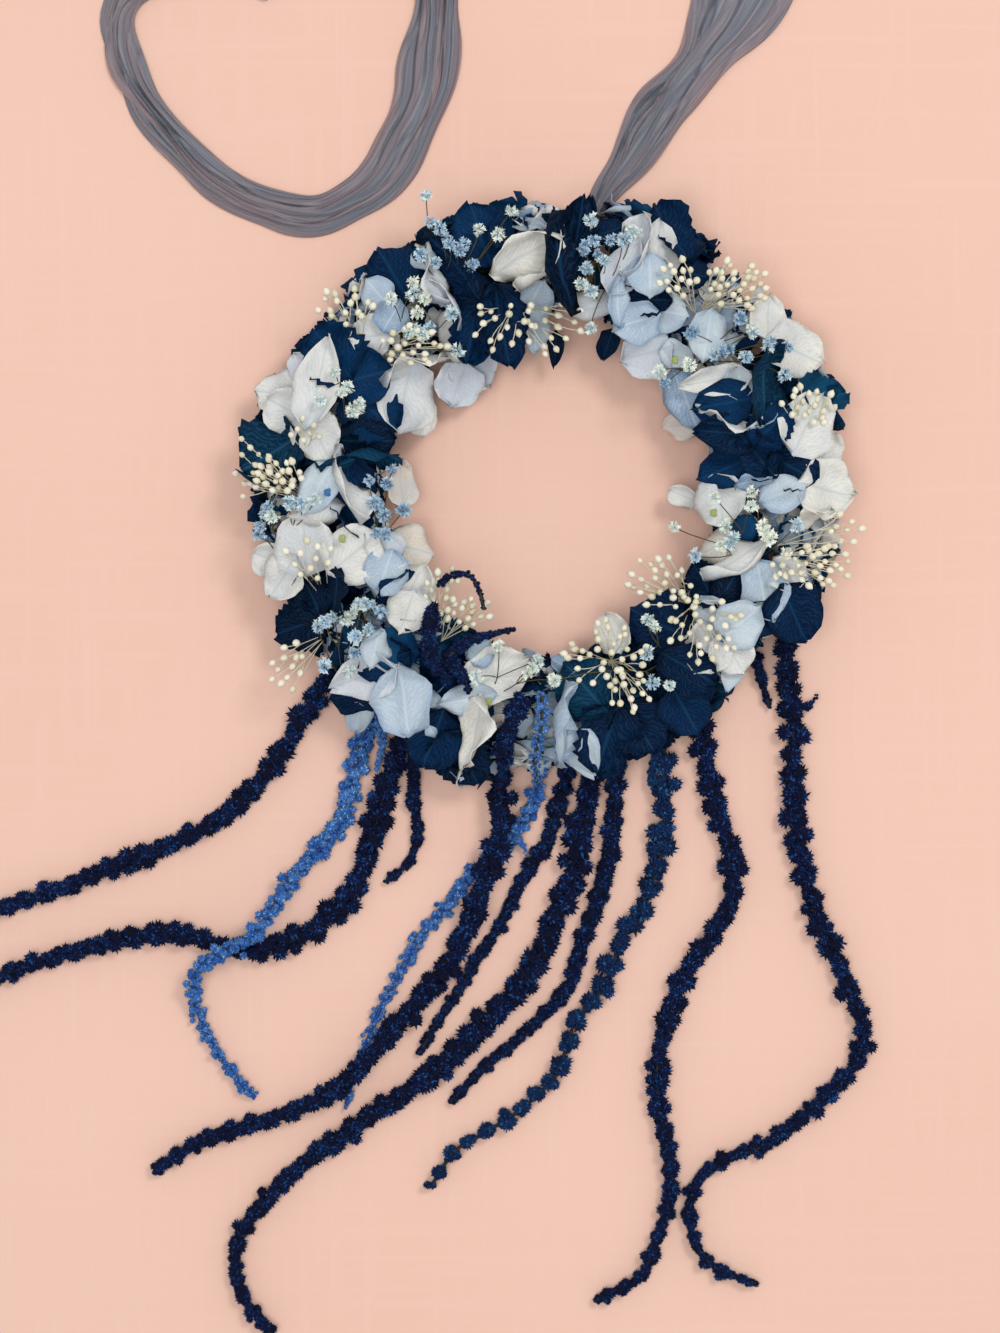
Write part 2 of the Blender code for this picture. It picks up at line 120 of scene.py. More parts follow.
def node(tree, kind, values=None, **settings):
    """Add a shader node, set its properties, and set or link its inputs."""
    made = tree.nodes.new("ShaderNode" + kind)
    for key, value in settings.items():
        setattr(made, key, value)
    for key, value in (values or {}).items():
        socket = made.inputs[key]
        if isinstance(value, bpy.types.NodeSocket):
            tree.links.new(value, socket)
        else:
            socket.default_value = value
    return made


def maths(tree, operation, *values):
    """A Math node's result."""
    return node(tree, "Math", dict(enumerate(values)), operation=operation).outputs[0]


def ramp(tree, value, stops):
    """A colour ramp through (position, colour) stops."""
    made = node(tree, "ValToRGB", {0: value})
    band = made.color_ramp
    while len(band.elements) < len(stops):
        band.elements.new(0.5)
    for element, (position, colour) in zip(band.elements, stops):
        element.position = position
        element.color = (*colour, 1.0)
    return made.outputs["Color"]


def mix(tree, factor, first, second, blend_type="MIX"):
    """Two colours mixed."""
    made = node(tree, "Mix", data_type="RGBA", blend_type=blend_type)
    for socket, value in ((made.inputs[0], factor), (made.inputs[6], first), (made.inputs[7], second)):
        if isinstance(value, bpy.types.NodeSocket):
            tree.links.new(value, socket)
        elif isinstance(value, (int, float)):
            socket.default_value = value
        else:
            socket.default_value = (*value, 1.0)
    return made.outputs[2]


def use_group(tree, group, values):
    """Place a group in a tree with its own values."""
    made = tree.nodes.new("ShaderNodeGroup")
    made.node_tree = group
    for key, value in values.items():
        if isinstance(value, bpy.types.NodeSocket):
            tree.links.new(value, made.inputs[key])
        else:
            made.inputs[key].default_value = value
    return made.outputs


def finish_material(name, roughness, specular=0.3, sheen=0.0):
    """A material with its Principled shader; the caller links colour and bump."""
    mat = bpy.data.materials.new(name)
    mat.use_nodes = True
    shader = mat.node_tree.nodes["Principled BSDF"]
    shader.inputs["Roughness"].default_value = roughness
    shader.inputs["Specular IOR Level"].default_value = specular
    shader.inputs["Sheen Weight"].default_value = sheen
    shader.inputs["Sheen Roughness"].default_value = 0.4
    return mat, mat.node_tree, shader


def srgb(red, green, blue):
    """A colour as seen, in the shader's linear values."""
    return tuple(c / 12.92 if c <= 0.04045 else ((c + 0.055) / 1.055) ** 2.4
                 for c in (red, green, blue))


# ---------------------------------------------------------------- materials

def vein_group():
    """Petal veins: a midrib and side veins that branch from it, from the petal's own UV map,
    with fine crumpling."""
    group, given, out = new_group("petal_veins", [("Side Veins", "Float", 6.0)],
                                  [("Veins", "Float"), ("Crumple", "Float"), ("Edge", "Float")])
    uv = node(group, "UVMap", uv_map="petal").outputs[0]
    parts = node(group, "SeparateXYZ", {0: uv}).outputs
    doubled = maths(group, "MULTIPLY", parts[0], 2.0)
    across = maths(group, "ABSOLUTE", maths(group, "SUBTRACT", doubled, 1.0))
    wander = node(group, "TexNoise", {"Vector": uv, "Scale": 7.0, "Detail": 3.0}).outputs[0]
    bent = maths(group, "ADD", parts[1], maths(group, "MULTIPLY", wander, 0.3))
    branch = maths(group, "SUBTRACT", bent, maths(group, "MULTIPLY", across, 0.42))
    turns = maths(group, "MULTIPLY", branch, given["Side Veins"])
    wave = maths(group, "SINE", maths(group, "MULTIPLY", turns, FULL_TURN))
    side = maths(group, "POWER", maths(group, "ABSOLUTE", wave), 6.0)
    rib = node(group, "MapRange", {0: across, 1: 0.0, 2: 0.09, 3: 1.0, 4: 0.0}).outputs[0]
    both = maths(group, "MAXIMUM", maths(group, "MULTIPLY", side, 0.55), rib)
    here = node(group, "TexCoord").outputs["Object"]
    crumple = node(group, "TexNoise", {"Vector": here, "Scale": 420.0, "Detail": 4.0}).outputs[0]
    edge = node(group, "MapRange", {0: across, 1: 0.72, 2: 1.0, 3: 0.0, 4: 1.0}).outputs[0]
    for socket, value in ((out["Veins"], both), (out["Crumple"], crumple), (out["Edge"], edge)):
        group.links.new(value, socket)
    return group


def grain_group():
    """Fine grain over a surface, for its colour and its height."""
    group, given, out = new_group("fine_grain", [("Scale", "Float", 700.0)], [("Grain", "Float")])
    here = node(group, "TexCoord").outputs["Object"]
    grain = node(group, "TexNoise", {"Vector": here, "Scale": given["Scale"], "Detail": 3.0}).outputs[0]
    group.links.new(grain, out["Grain"])
    return group


def mottle_group():
    """Uneven dye in soft patches."""
    group, given, out = new_group("uneven_dye", [("Amount", "Float", 0.4)], [("Patch", "Float")])
    here = node(group, "TexCoord").outputs["Object"]
    blotch = node(group, "TexNoise", {"Vector": here, "Scale": 95.0, "Detail": 5.0,
                                      "Roughness": 0.65}).outputs[0]
    patch = node(group, "MapRange", {0: blotch, 1: 0.42, 2: 0.72, 3: 0.0, 4: given["Amount"]}).outputs[0]
    group.links.new(patch, out["Patch"])
    return group


def petal_material(name, veins, stops, vein_colour, vein_strength, edge_colour, edge_strength,
                   roughness, mottle, mottle_colour, specular=0.22):
    """A preserved petal: its tint picks the dye, with veins, a paler or darker rim and mottling."""
    mat, tree, shader = finish_material(name, roughness, specular, 0.0)
    tint = node(tree, "Attribute", attribute_name="tint").outputs["Fac"]
    found = use_group(tree, veins, {"Side Veins": 5.5})
    colour = ramp(tree, tint, stops)
    patch = use_group(tree, bpy.data.node_groups["uneven_dye"], {"Amount": mottle})["Patch"]
    colour = mix(tree, patch, colour, mottle_colour)
    colour = mix(tree, maths(tree, "MULTIPLY", found["Veins"], vein_strength), colour, vein_colour)
    colour = mix(tree, maths(tree, "MULTIPLY", found["Edge"], edge_strength), colour, edge_colour)
    tree.links.new(colour, shader.inputs["Base Color"])
    height = maths(tree, "ADD", maths(tree, "MULTIPLY", found["Veins"], 0.35), found["Crumple"])
    bump = node(tree, "Bump", {"Strength": 0.45, "Distance": 0.0005, "Height": height})
    tree.links.new(bump.outputs[0], shader.inputs["Normal"])
    return mat


def speckled(name, roughness, stops, scale, strength, distance, sheen=0.0, specular=0.2):
    """A matt surface whose colour and height vary finely over it, lighter or darker by its tint."""
    mat, tree, shader = finish_material(name, roughness, specular, sheen)
    tint = node(tree, "Attribute", attribute_name="tint").outputs["Fac"]
    grain = use_group(tree, bpy.data.node_groups["fine_grain"], {"Scale": scale})["Grain"]
    shade = maths(tree, "ADD", maths(tree, "MULTIPLY", grain, 0.35), maths(tree, "MULTIPLY", tint, 0.8))
    tree.links.new(ramp(tree, maths(tree, "SUBTRACT", shade, 0.08), stops), shader.inputs["Base Color"])
    bump = node(tree, "Bump", {"Strength": strength, "Distance": distance, "Height": grain})
    tree.links.new(bump.outputs[0], shader.inputs["Normal"])
    return mat


def velvet(name, stops):
    """Amaranth blossom: soft, matt and finely varied."""
    return speckled(name, 0.9, stops, 700.0, 0.4, 0.0003, 0.0, 0.25)


def silk_material():
    """Gathered silk: fine lengthwise streaks that shift between grey-blue and pinkish lilac, darkened in the
    folds as painted shade and turned pinker at the thin edges as painted floor colour showing through.
    """
    mat, tree, shader = finish_material("hand_dyed_silk", 0.55, 0.3, 0.15)
    uv = node(tree, "UVMap", uv_map="cloth").outputs[0]
    long_way = node(tree, "Mapping", {"Vector": uv, "Scale": (46.0, 1.3, 1.0)}).outputs[0]
    streak = node(tree, "TexNoise", {"Vector": long_way, "Scale": 1.0, "Detail": 6.0,
                                     "Roughness": 0.65}).outputs[0]
    dye_way = node(tree, "Mapping", {"Vector": uv, "Scale": (3.0, 6.0, 1.0)}).outputs[0]
    dye = node(tree, "TexNoise", {"Vector": dye_way, "Scale": 1.0, "Detail": 3.0}).outputs[0]
    fold = node(tree, "Attribute", attribute_name="fold").outputs["Fac"]
    floor_show_through = node(tree, "Attribute", attribute_name="floor_show_through").outputs["Fac"]
    grey = ramp(tree, streak, [(0.3, srgb(0.40, 0.42, 0.47)), (0.5, srgb(0.50, 0.515, 0.56)),
                               (0.7, srgb(0.62, 0.62, 0.65))])
    pink = ramp(tree, streak, [(0.3, srgb(0.52, 0.44, 0.46)), (0.7, srgb(0.74, 0.62, 0.61))])
    pinker = node(tree, "MapRange", {0: dye, 1: 0.44, 2: 0.62, 3: 0.0, 4: 0.6}).outputs[0]
    # painted floor colour: the thin edges turned pinker, as if the peach floor showed through, on top of the
    # dye's own pink patches
    pinker = maths(tree, "MINIMUM", maths(tree, "MAXIMUM", pinker, maths(tree, "MULTIPLY", floor_show_through, 0.9)), 0.8)
    colour = mix(tree, pinker, grey, pink)
    # painted shade: the silk darkened towards slate grey where the folds are
    colour = mix(tree, maths(tree, "MULTIPLY", fold, 0.6), colour, srgb(0.25, 0.26, 0.31))
    tree.links.new(colour, shader.inputs["Base Color"])
    weave = node(tree, "Mapping", {"Vector": uv, "Scale": (130.0, 5.0, 1.0)}).outputs[0]
    threads = node(tree, "TexNoise", {"Vector": weave, "Scale": 1.0, "Detail": 3.0}).outputs[0]
    bump = node(tree, "Bump", {"Strength": 0.6, "Distance": 0.0005, "Height": threads})
    tree.links.new(bump.outputs[0], shader.inputs["Normal"])
    return mat


def floor_material():
    """Pale painted surface with faint brush lines."""
    mat, tree, shader = finish_material("painted_board", 0.85, 0.15)
    here = node(tree, "TexCoord").outputs["Object"]
    brushed = []
    for turn, stretch in ((0.12, (2.0, 60.0, 1.0)), (0.3, (60.0, 2.5, 1.0))):
        strokes = node(tree, "Mapping", {"Vector": here, "Scale": stretch,
                                         "Rotation": (0, 0, turn)}).outputs[0]
        lines = node(tree, "TexNoise", {"Vector": strokes, "Scale": 4.0, "Detail": 6.0, "Roughness": 0.6})
        brushed.append(lines.outputs[0])
    wide = node(tree, "TexNoise", {"Vector": here, "Scale": 3.0, "Detail": 3.0}).outputs[0]
    height = maths(tree, "MAXIMUM", *brushed)
    colour = ramp(tree, wide, [(0.3, srgb(0.93, 0.765, 0.69)), (0.7, srgb(0.945, 0.785, 0.715))])
    paler = node(tree, "MapRange", {0: height, 1: 0.5, 2: 0.75, 3: 0.0, 4: 0.28}).outputs[0]
    colour = mix(tree, paler, colour, srgb(0.96, 0.815, 0.755))
    tree.links.new(colour, shader.inputs["Base Color"])
    bump = node(tree, "Bump", {"Strength": 0.22, "Distance": 0.001, "Height": height})
    tree.links.new(bump.outputs[0], shader.inputs["Normal"])
    return mat


# ---------------------------------------------------------------- mesh helpers

def shape(bm):
    """The bmesh as a mesh that copies are taken from."""
    mesh = bpy.data.meshes.new("shape")
    bm.to_mesh(mesh)
    bm.free()
    return mesh


def add_piece(name, data, body, replaced):
    """A named piece that rides a body and stands for CAD nodes."""
    obj = bpy.data.objects.new(name, data)
    bpy.context.collection.objects.link(obj)
    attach(obj, body)
    if replaced:
        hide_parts(*replaced)
    return obj


def thicken(obj, name, thickness, offset=-1.0):
    """Give a sheet its thickness."""
    wall = obj.modifiers.new(name, "SOLIDIFY")
    wall.thickness = thickness
    wall.offset = offset


def own_node(name):
    """The CAD node that this piece stands for, where there is one."""
    return [name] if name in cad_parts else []


def gather(name, groups, materials):
    """One mesh of copies: each group is a shape, its places (4x4 matrices), its tints and which
    material it has."""
    points, corners, starts, uvs, tints, slots = [], [], [], [], [], []
    base = corner_base = 0
    for source, places, tint, slot_index in groups:
        if not len(places):
            continue
        count, loops, faces = len(source.vertices), len(source.loops), len(source.polygons)
        co = np.empty(count * 3)
        source.vertices.foreach_get("co", co)
        own_corners = np.empty(loops, np.int64)
        source.loops.foreach_get("vertex_index", own_corners)
        own_starts = np.empty(faces, np.int64)
        source.polygons.foreach_get("loop_start", own_starts)
        own_uv = np.zeros(loops * 2)
        if source.uv_layers:
            source.uv_layers[0].uv.foreach_get("vector", own_uv)
        places = np.asarray(places, float)
        co = np.c_[co.reshape(-1, 3), np.ones(count)]
        copies = np.einsum("kij,nj->kni", places, co)[:, :, :3]
        copies[:, :, 2] += np.maximum(0, LOWEST - copies[:, :, 2].min(1))[:, None]
        copies[:, :, 2] -= np.maximum(0, copies[:, :, 2].max(1) - HIGHEST)[:, None]
        points.append(copies.reshape(-1, 3))
        step = np.arange(len(places))[:, None]
        corners.append((own_corners[None] + base + step * count).ravel())
        starts.append((own_starts[None] + corner_base + step * loops).ravel())
        uvs.append(np.tile(own_uv, len(places)))
        own_shade = np.zeros(count)
        if "shade" in source.attributes:
            source.attributes["shade"].data.foreach_get("value", own_shade)
        tints.append((np.asarray(tint, float)[:, None] + own_shade[None]).ravel())
        slots.append(np.full(faces * len(places), slot_index))
        base += count * len(places)
        corner_base += loops * len(places)
    mesh = bpy.data.meshes.new(name)
    mesh.vertices.add(base)
    mesh.vertices.foreach_set("co", np.concatenate(points).ravel())
    mesh.loops.add(corner_base)
    mesh.loops.foreach_set("vertex_index", np.concatenate(corners))
    all_starts = np.concatenate(starts)
    mesh.polygons.add(len(all_starts))
    mesh.polygons.foreach_set("loop_start", all_starts)
    mesh.polygons.foreach_set("material_index", np.concatenate(slots))
    mesh.update(calc_edges=True)
    layer = mesh.uv_layers.new(name="petal")
    layer.uv.foreach_set("vector", np.concatenate(uvs))
    mesh.attributes.new("tint", "FLOAT", "POINT").data.foreach_set("value", np.concatenate(tints))
    mesh.shade_smooth()
    for mat in materials:
        mesh.materials.append(mat)
    mesh.validate()
    return mesh


def place(at, forward, up, scale=(1.0, 1.0, 1.0)):
    """A matrix at this point: its Y along forward, its Z as near up as that allows."""
    y = Vector(forward).normalized()
    x = y.cross(Vector(up))
    if x.length < 1e-6:
        x = y.orthogonal()
    x.normalize()
    z = x.cross(y)
    turn = Matrix((x, y, z)).transposed().to_4x4()
    return Matrix.Translation(at) @ turn @ Matrix.Diagonal((*scale, 1.0))


def polar(degrees, radius, height=0.0):
    """A point at this angle round the hoop and this distance from its centre."""
    angle = math.radians(degrees)
    return Vector((radius * math.cos(angle), radius * math.sin(angle), height))


def smooth_route(points, spacing):
    """Points at about this spacing along a smooth curve through the given ones."""
    ends = [2 * points[0] - points[1]] + points + [2 * points[-1] - points[-2]]
    dense = []
    for before, start, end, after in zip(ends, ends[1:], ends[2:], ends[3:]):
        for step in range(12):
            t = step / 12
            dense.append(0.5 * (2 * start + (end - before) * t
                                + (2 * before - 5 * start + 4 * end - after) * t ** 2
                                + (3 * start - before - 3 * end + after) * t ** 3))
    dense.append(points[-1])
    lengths = [0.0]
    for a, b in zip(dense, dense[1:]):
        lengths.append(lengths[-1] + (b - a).length)
    count = max(2, round(lengths[-1] / spacing))
    route = []
    k = 1
    for i in range(count + 1):
        target = lengths[-1] * i / count
        while k < len(lengths) - 1 and lengths[k] < target:
            k += 1
        share = (target - lengths[k - 1]) / (lengths[k] - lengths[k - 1])
        route.append(dense[k - 1].lerp(dense[k], min(max(share, 0.0), 1.0)))
    return route


def line_curve(name, lines, radius, resolution=1):
    """A curve object's data: round stems along each line."""
    curve = bpy.data.curves.new(name, "CURVE")
    curve.dimensions = "3D"
    curve.bevel_depth = radius
    curve.bevel_resolution = resolution
    curve.use_fill_caps = True
    for line in lines:
        spline = curve.splines.new("POLY")
        spline.points.add(len(line) - 1)
        for knot, point in zip(spline.points, line):
            knot.co = (*point, 1.0)
    return curve


def stem_mesh(lines, radius):
    """Thin stems as a mesh."""
    obj = bpy.data.objects.new("stems", line_curve("stems", lines, radius, 0))
    mesh = bpy.data.meshes.new_from_object(obj)
    bpy.data.objects.remove(obj)
    return mesh


# ---------------------------------------------------------------- amaranth strands

# Each strand: the body it rides, how far it is across at its fullest in mm, how deep the gaps
# between its knots of blossom are, its colours, and its route with the height of its underside.
STRANDS = {
    "amaranth_strand_left": ("strands_left", 5.5, 0.42, "navy", [
        (-93, -81, 2), (-108, -106, 0), (-118, -121, 0), (-129, -133, 0), (-141, -143, 0),
        (-162, -154, 0), (-191, -165, 0), (-220, -176, 0), (-233, -180, 0), (-258, -190, 0),
        (-288, -208, 0)]),
    "amaranth_strand_left_front": ("strands_left_front", 5.8, 0.42, "navy", [
        (-63, -113, 2), (-70, -133, 0), (-74, -149, 0), (-80, -166, 0), (-88, -179, 0),
        (-102, -190, 0), (-116, -196, 0), (-129, -197, 0), (-142, -195, 0), (-155, -191, 0),
        (-168, -191, 0), (-194, -196, 0), (-220, -204, 0), (-233, -209, 0), (-258, -220, 0),
        (-284, -236, 0)]),
    "amaranth_strand_left_front_loop": ("strands_left_front", 3.6, 0.35, "navy", [
        (-57, -117, 2), (-57, -136, 0), (-55, -148, 0), (-59, -160, 0), (-69, -169, 0)]),
    "amaranth_strand_light_blue_left": ("strands_left_front", 4.6, 0.3, "light_blue", [
        (-75, -101, 2), (-81, -116, 0), (-84, -132, 0), (-90, -147, 0), (-104, -162, 2),
        (-112, -173, 8), (-119, -183, 14), (-127, -193, 14), (-142, -200, 14),
        (-149, -208, 9), (-149, -222, 0), (-142, -238, 0), (-131, -253, 0), (-124, -260, 0)]),
    "amaranth_strand_front_left": ("strands_front", 5.8, 0.28, "navy", [
        (-20, -126, 2), (-20, -140, 7), (-22, -154, 8), (-28, -171, 7), (-34, -188, 1),
        (-41, -202, 0), (-50, -214, 0), (-61, -226, 2), (-72, -238, 7), (-82, -249, 7),
        (-93, -258, 4), (-110, -266, 0), (-127, -272, 0), (-148, -279, 0), (-167, -291, 0)]),
    "amaranth_strand_light_blue_front": ("strands_front", 3.8, 0.35, "light_blue", [
        (-4, -126, 2), (-7, -137, 0), (-13, -147, 0), (-22, -157, 0), (-33, -166, 0),
        (-43, -179, 0), (-53, -190, 0), (-61, -204, 0), (-67, -215, 0), (-72, -224, 0),
        (-77, -237, 0), (-82, -250, 0), (-86, -265, 0)]),
    "amaranth_strand_front_inner": ("strands_front", 3.8, 0.3, "navy", [
        (7, -126, 2), (0, -150, 0), (-7, -161, 0), (-15, -176, 0), (-21, -188, 0),
        (-30, -201, 0), (-38, -215, 0), (-48, -230, 0), (-55, -242, 0)]),
    "amaranth_strand_front_long": ("strands_front", 5.8, 0.25, "navy", [
        (18, -125, 2), (12, -154, 0), (9, -171, 0), (3, -184, 0), (-4, -200, 0),
        (-11, -212, 0), (-21, -223, 0), (-31, -233, 0), (-40, -242, 0), (-51, -251, 0),
        (-63, -260, 0), (-75, -268, 0), (-93, -280, 0), (-105, -289, 0), (-120, -304, 0),
        (-131, -319, 0), (-132, -336, 0), (-125, -351, 0), (-116, -359, 0)]),
    "amaranth_strand_front_outer": ("strands_front", 4.4, 0.3, "navy", [
        (29, -123, 2), (27, -150, 0), (24, -167, 0), (18, -184, 0), (12, -202, 0),
        (8, -214, 0), (-2, -225, 0), (-15, -237, 0), (-28, -248, 0), (-41, -262, 0)]),
    "amaranth_strand_teal": ("strands_front_right", 6.0, 0.8, "teal", [
        (49, -117, 2), (49, -136, 0), (49, -151, 0), (45, -167, 0), (40, -178, 0),
        (33, -189, 0), (27, -204, 0), (22, -215, 0), (11, -229, 0), (4, -249, 0),
        (-7, -261, 0), (-16, -268, 0), (-29, -276, 0), (-40, -283, 0), (-50, -298, 0)]),
    "amaranth_strand_right_front": ("strands_front_right", 5.6, 0.45, "navy", [
        (65, -108, 2), (69, -126, 0), (71, -138, 0), (76, -151, 0), (79, -164, 0),
        (77, -178, 0), (67, -195, 0), (58, -207, 0), (53, -219, 0), (48, -236, 0),
        (46, -250, 0), (47, -267, 0), (51, -283, 0), (51, -304, 0), (45, -323, 0),
        (39, -336, 0), (20, -346, 0)]),
    "amaranth_strand_right": ("strands_right", 5.6, 0.5, "navy", [
        (100, -69, 2), (102, -88, 0), (104, -97, 0), (104, -108, 0), (104, -126, 0),
        (105, -142, 0), (108, -161, 0), (113, -181, 0), (122, -201, 0), (128, -216, 0),
        (133, -227, 0), (133, -240, 0), (126, -251, 0), (116, -261, 0), (103, -272, 0),
        (92, -280, 0), (77, -285, 0), (65, -293, 0), (60, -306, 0), (62, -321, 0),
        (71, -332, 0), (88, -339, 0)]),
    "amaranth_strand_right_short": ("strands_right", 3.4, 0.4, "navy", [
        (83, -65, 3), (89, -77, 2), (91, -85, 0), (94, -95, 0)]),
}
STEM_DIAMETER = 1.6 * MM
KNOT_PITCH = 9.5 * MM            # between a strand's knots of blossom
TUCKED_IN = 9.0 * MM             # of each stem, in among the flowers
FULLNESS = 1.48                  # of the blossom, past the strand's solid


def bract():
    """One tiny pointed bract, with a painted highlight at its tip and painted shade at its base."""
    bm = bmesh.new()
    shade = bm.verts.layers.float.new("shade")
    bmesh.ops.create_cone(bm, segments=3, radius1=0.25, radius2=0.0, depth=0.62, cap_ends=False)
    bmesh.ops.remove_doubles(bm, verts=bm.verts[:], dist=0.001)
    for vert in bm.verts:
        vert[shade] = 0.42 if vert.co.z > 0 else -0.22
        vert.co.z += 0.16
    return shape(bm)


def knot_core():
    """The middle of a knot of blossom, made darker as painted shade among the bracts."""
    bm = bmesh.new()
    shade = bm.verts.layers.float.new("shade")
    bmesh.ops.create_icosphere(bm, subdivisions=1, radius=0.74)
    for vert in bm.verts:
        vert[shade] = -0.3
    return shape(bm)


def bract_places(count):
    """Where the bracts stand on a knot one unit in radius: all round it, leaning a little."""
    places = []
    for k in range(count):
        z = 1 - 2 * (k + 0.5) / count
        turn = GOLDEN_TURN * k
        flat = math.sqrt(1 - z * z)
        out = Vector((flat * math.cos(turn), flat * math.sin(turn), z))
        lean = (out + Vector(CHANCE.uniform(-0.5, 0.5, 3))).normalized()
        grow = CHANCE.uniform(0.6, 1.35)
        places.append(place(out * 0.64, lean.orthogonal(), lean, (1.0, 1.0, grow)))
    return np.array(places)


def strand_reach(share, fullest):
    """How far the blossom reaches from the stem at this share of the strand."""
    if share < 0.1:
        return fullest * (0.8 + 2.0 * share)
    return fullest * (1.0 - 0.5 * ((share - 0.1) / 0.9) ** 1.6)


def blossom(route, fullest, gaps, bits, tint_middle, airy=False):
    """Copies of the bract and the core for the knots of blossom all along a stem; airy blossom
    has smaller knots that stand further apart."""
    spike, core, arrangements = bits
    lengths = np.cumsum([0.0] + [(b - a).length for a, b in zip(route, route[1:])])
    spots = np.array([tuple(p) for p in route])
    knots, tints = [], []
    at = 0.0
    turn, wave = CHANCE.uniform(0, 6.28, 2)
    smallest, largest = (0.30, 0.46) if airy else (0.44, 0.62)
    while at < lengths[-1]:
        here = Vector([np.interp(at, lengths, spots[:, k]) for k in range(3)])
        ahead = Vector([np.interp(at + 1 * MM, lengths, spots[:, k]) for k in range(3)])
        along = (ahead - here).normalized() if (ahead - here).length > 1e-7 else along
        side = along.cross(Vector((0, 0, 1))).normalized()
        other = side.cross(along)
        swell = 1.0 - gaps * (0.5 + 0.5 * math.cos(wave))
        reach = strand_reach(at / lengths[-1], fullest) * swell
        radius = reach * CHANCE.uniform(smallest, largest)
        turn += 2.6 + CHANCE.uniform(-0.6, 0.6)
        out = side * math.cos(turn) + other * math.sin(turn) * 0.7
        spread = (reach - radius) * math.sqrt(CHANCE.uniform(0.02, 1.5))
        centre = here + out * spread
        centre.z = max(centre.z, radius * 0.6)
        step = max(radius * (0.34 if airy else 0.44), 0.7 * MM)
        if swell > 0.36:
            spin = Vector(CHANCE.uniform(-1, 1, 3)).normalized()
            knots.append(place(centre, spin, spin.orthogonal(), (radius,) * 3))
            tints.append(tint_middle + CHANCE.uniform(-0.12, 0.16))
        at += step
        wave += FULL_TURN * step / (KNOT_PITCH * CHANCE.uniform(0.6, 1.4))
    knots = np.array(knots)
    tints = np.array(tints)
    groups = [(core, knots, tints)]
    for k, local in enumerate(arrangements):
        chosen, own = knots[k::len(arrangements)], tints[k::len(arrangements)]
        spikes = np.einsum("aij,bjk->abik", chosen, local).reshape(-1, 4, 4)
        tint = own[:, None] + CHANCE.uniform(-0.16, 0.16, (len(own), len(local)))
        # painted glints: about one bract in seven is made much lighter
        tint += 0.5 * (CHANCE.uniform(0, 1, tint.shape) < 0.15)
        groups.append((spike, spikes, tint.ravel()))
    return groups


def amaranth(bits, stem_mat, blossom_mats):
    """All the hanging strands: a limp stem and its blossom."""
    for name, (body, fullest, gaps, colour, points) in STRANDS.items():
        route = [Vector((x, y, z + fullest * 0.8)) * MM for x, y, z in points]
        route.insert(0, route[0] + (route[0] - route[1]).normalized() * TUCKED_IN)
        stem_line = smooth_route(route, 3.0 * MM)
        stem = line_curve(name + "_stem", [stem_line], STEM_DIAMETER / 2, 2)
        airy = colour == "light_blue"
        stem.materials.append(blossom_mats[colour] if airy else stem_mat)
        stem_obj = add_piece(name + "_stem", stem, body, [])
        groups = blossom(stem_line, fullest * FULLNESS * MM, gaps, bits, 0.42, airy)
        for across, *shoot in SHOOTS.get(name, []):
            shoot = smooth_route([Vector(p) * MM for p in shoot], 2.0 * MM)
            groups += blossom(shoot, across * MM, 0.2, bits, 0.5)
        mesh = gather(name + "_blossom", [(*g, 0) for g in groups], [blossom_mats[colour]])
        flower = add_piece(name + "_blossom", mesh, body, [name])


# Blossom that curls over the flowers, for each tuft: colour, how far it is across in mm and its route in mm.
TUFTS = {
    "amaranth_tuft_front_left": [
        ("navy", 5.6, (-48, -53, 44), (-49, -63, 46), (-49, -74, 43), (-41, -84, 38)),
        ("navy", 4.6, (-44, -74, 40), (-36, -80, 42), (-33, -88, 36)),
        ("navy", 3.8, (-41, -73, 44), (-33, -67, 46), (-23, -64, 45), (-14, -62, 42)),
        ("navy", 2.6, (-46, -44, 38), (-40, -40, 42), (-33, -40, 43), (-29, -46, 41), (-27, -54, 38))],
    "amaranth_tuft_front": [
        ("navy", 6.8, (-11, -91, 42), (-15, -98, 42), (-18, -107, 38), (-22, -114, 30)),
        ("navy", 5.2, (-18, -108, 34), (-19, -118, 24), (-21, -128, 16)),
        ("light_blue", 4.0, (-3, -88, 42), (-3, -97, 42), (-4, -106, 38), (-6, -116, 28), (-5, -126, 16))],
}
# Short shoots on the strands: the strand, how far one is across in mm and its route in mm.
SHOOTS = {
    "amaranth_strand_light_blue_left": [(3.0, (-83, -129, 5), (-90, -144, 5), (-101, -153, 4)),
                                        (3.2, (-72, -100, 8), (-70, -110, 6), (-73, -122, 5))],
    "amaranth_strand_light_blue_front": [(2.4, (-18, -150, 4), (-11, -153, 4), (-9, -158, 3))],
    "amaranth_strand_right": [(2.8, (103, -95, 6), (110, -94, 7), (114, -89, 6))],
    "amaranth_strand_teal": [(3.6, (47, -110, 8), (44, -122, 6), (45, -132, 5))],
}


def tufts(bits, stem_mat, blossom_mats):
    """The amaranth that curls over the flowers, on its own short stems."""
    order = ["navy", "light_blue"]
    for name, spikes in TUFTS.items():
        groups, lines = [], []
        for colour, fullest, *points in spikes:
            route = smooth_route([Vector(p) * MM for p in points], 2.0 * MM)
            airy = colour == "light_blue"
            made = blossom(route, fullest * MM, 0.2, bits, 0.45, airy)
            groups += [(*g, order.index(colour)) for g in made]
            lines.append(route)
        groups.append((stem_mesh(lines, STEM_DIAMETER / 2), [Matrix()], [0.5], 2))
        mesh = gather(name + "_blossom", groups, [blossom_mats[c] for c in order] + [stem_mat])
        add_piece(name + "_blossom", mesh, "root", [name])


# ---------------------------------------------------------------- silk ribbon

RIBBON_ROUTE = [
    (22, 117), (36, 139), (51, 164), (66, 185), (81, 206), (92, 232), (88, 260), (65, 283),
    (31, 293), (-7, 287), (-34, 264), (-47, 236), (-49, 206), (-50, 181), (-55, 160), (-67, 134),
    (-84, 119), (-101, 113), (-125, 119), (-148, 134), (-167, 155), (-180, 178), (-182, 198),
    (-170, 212), (-146, 218), (-118, 214)]
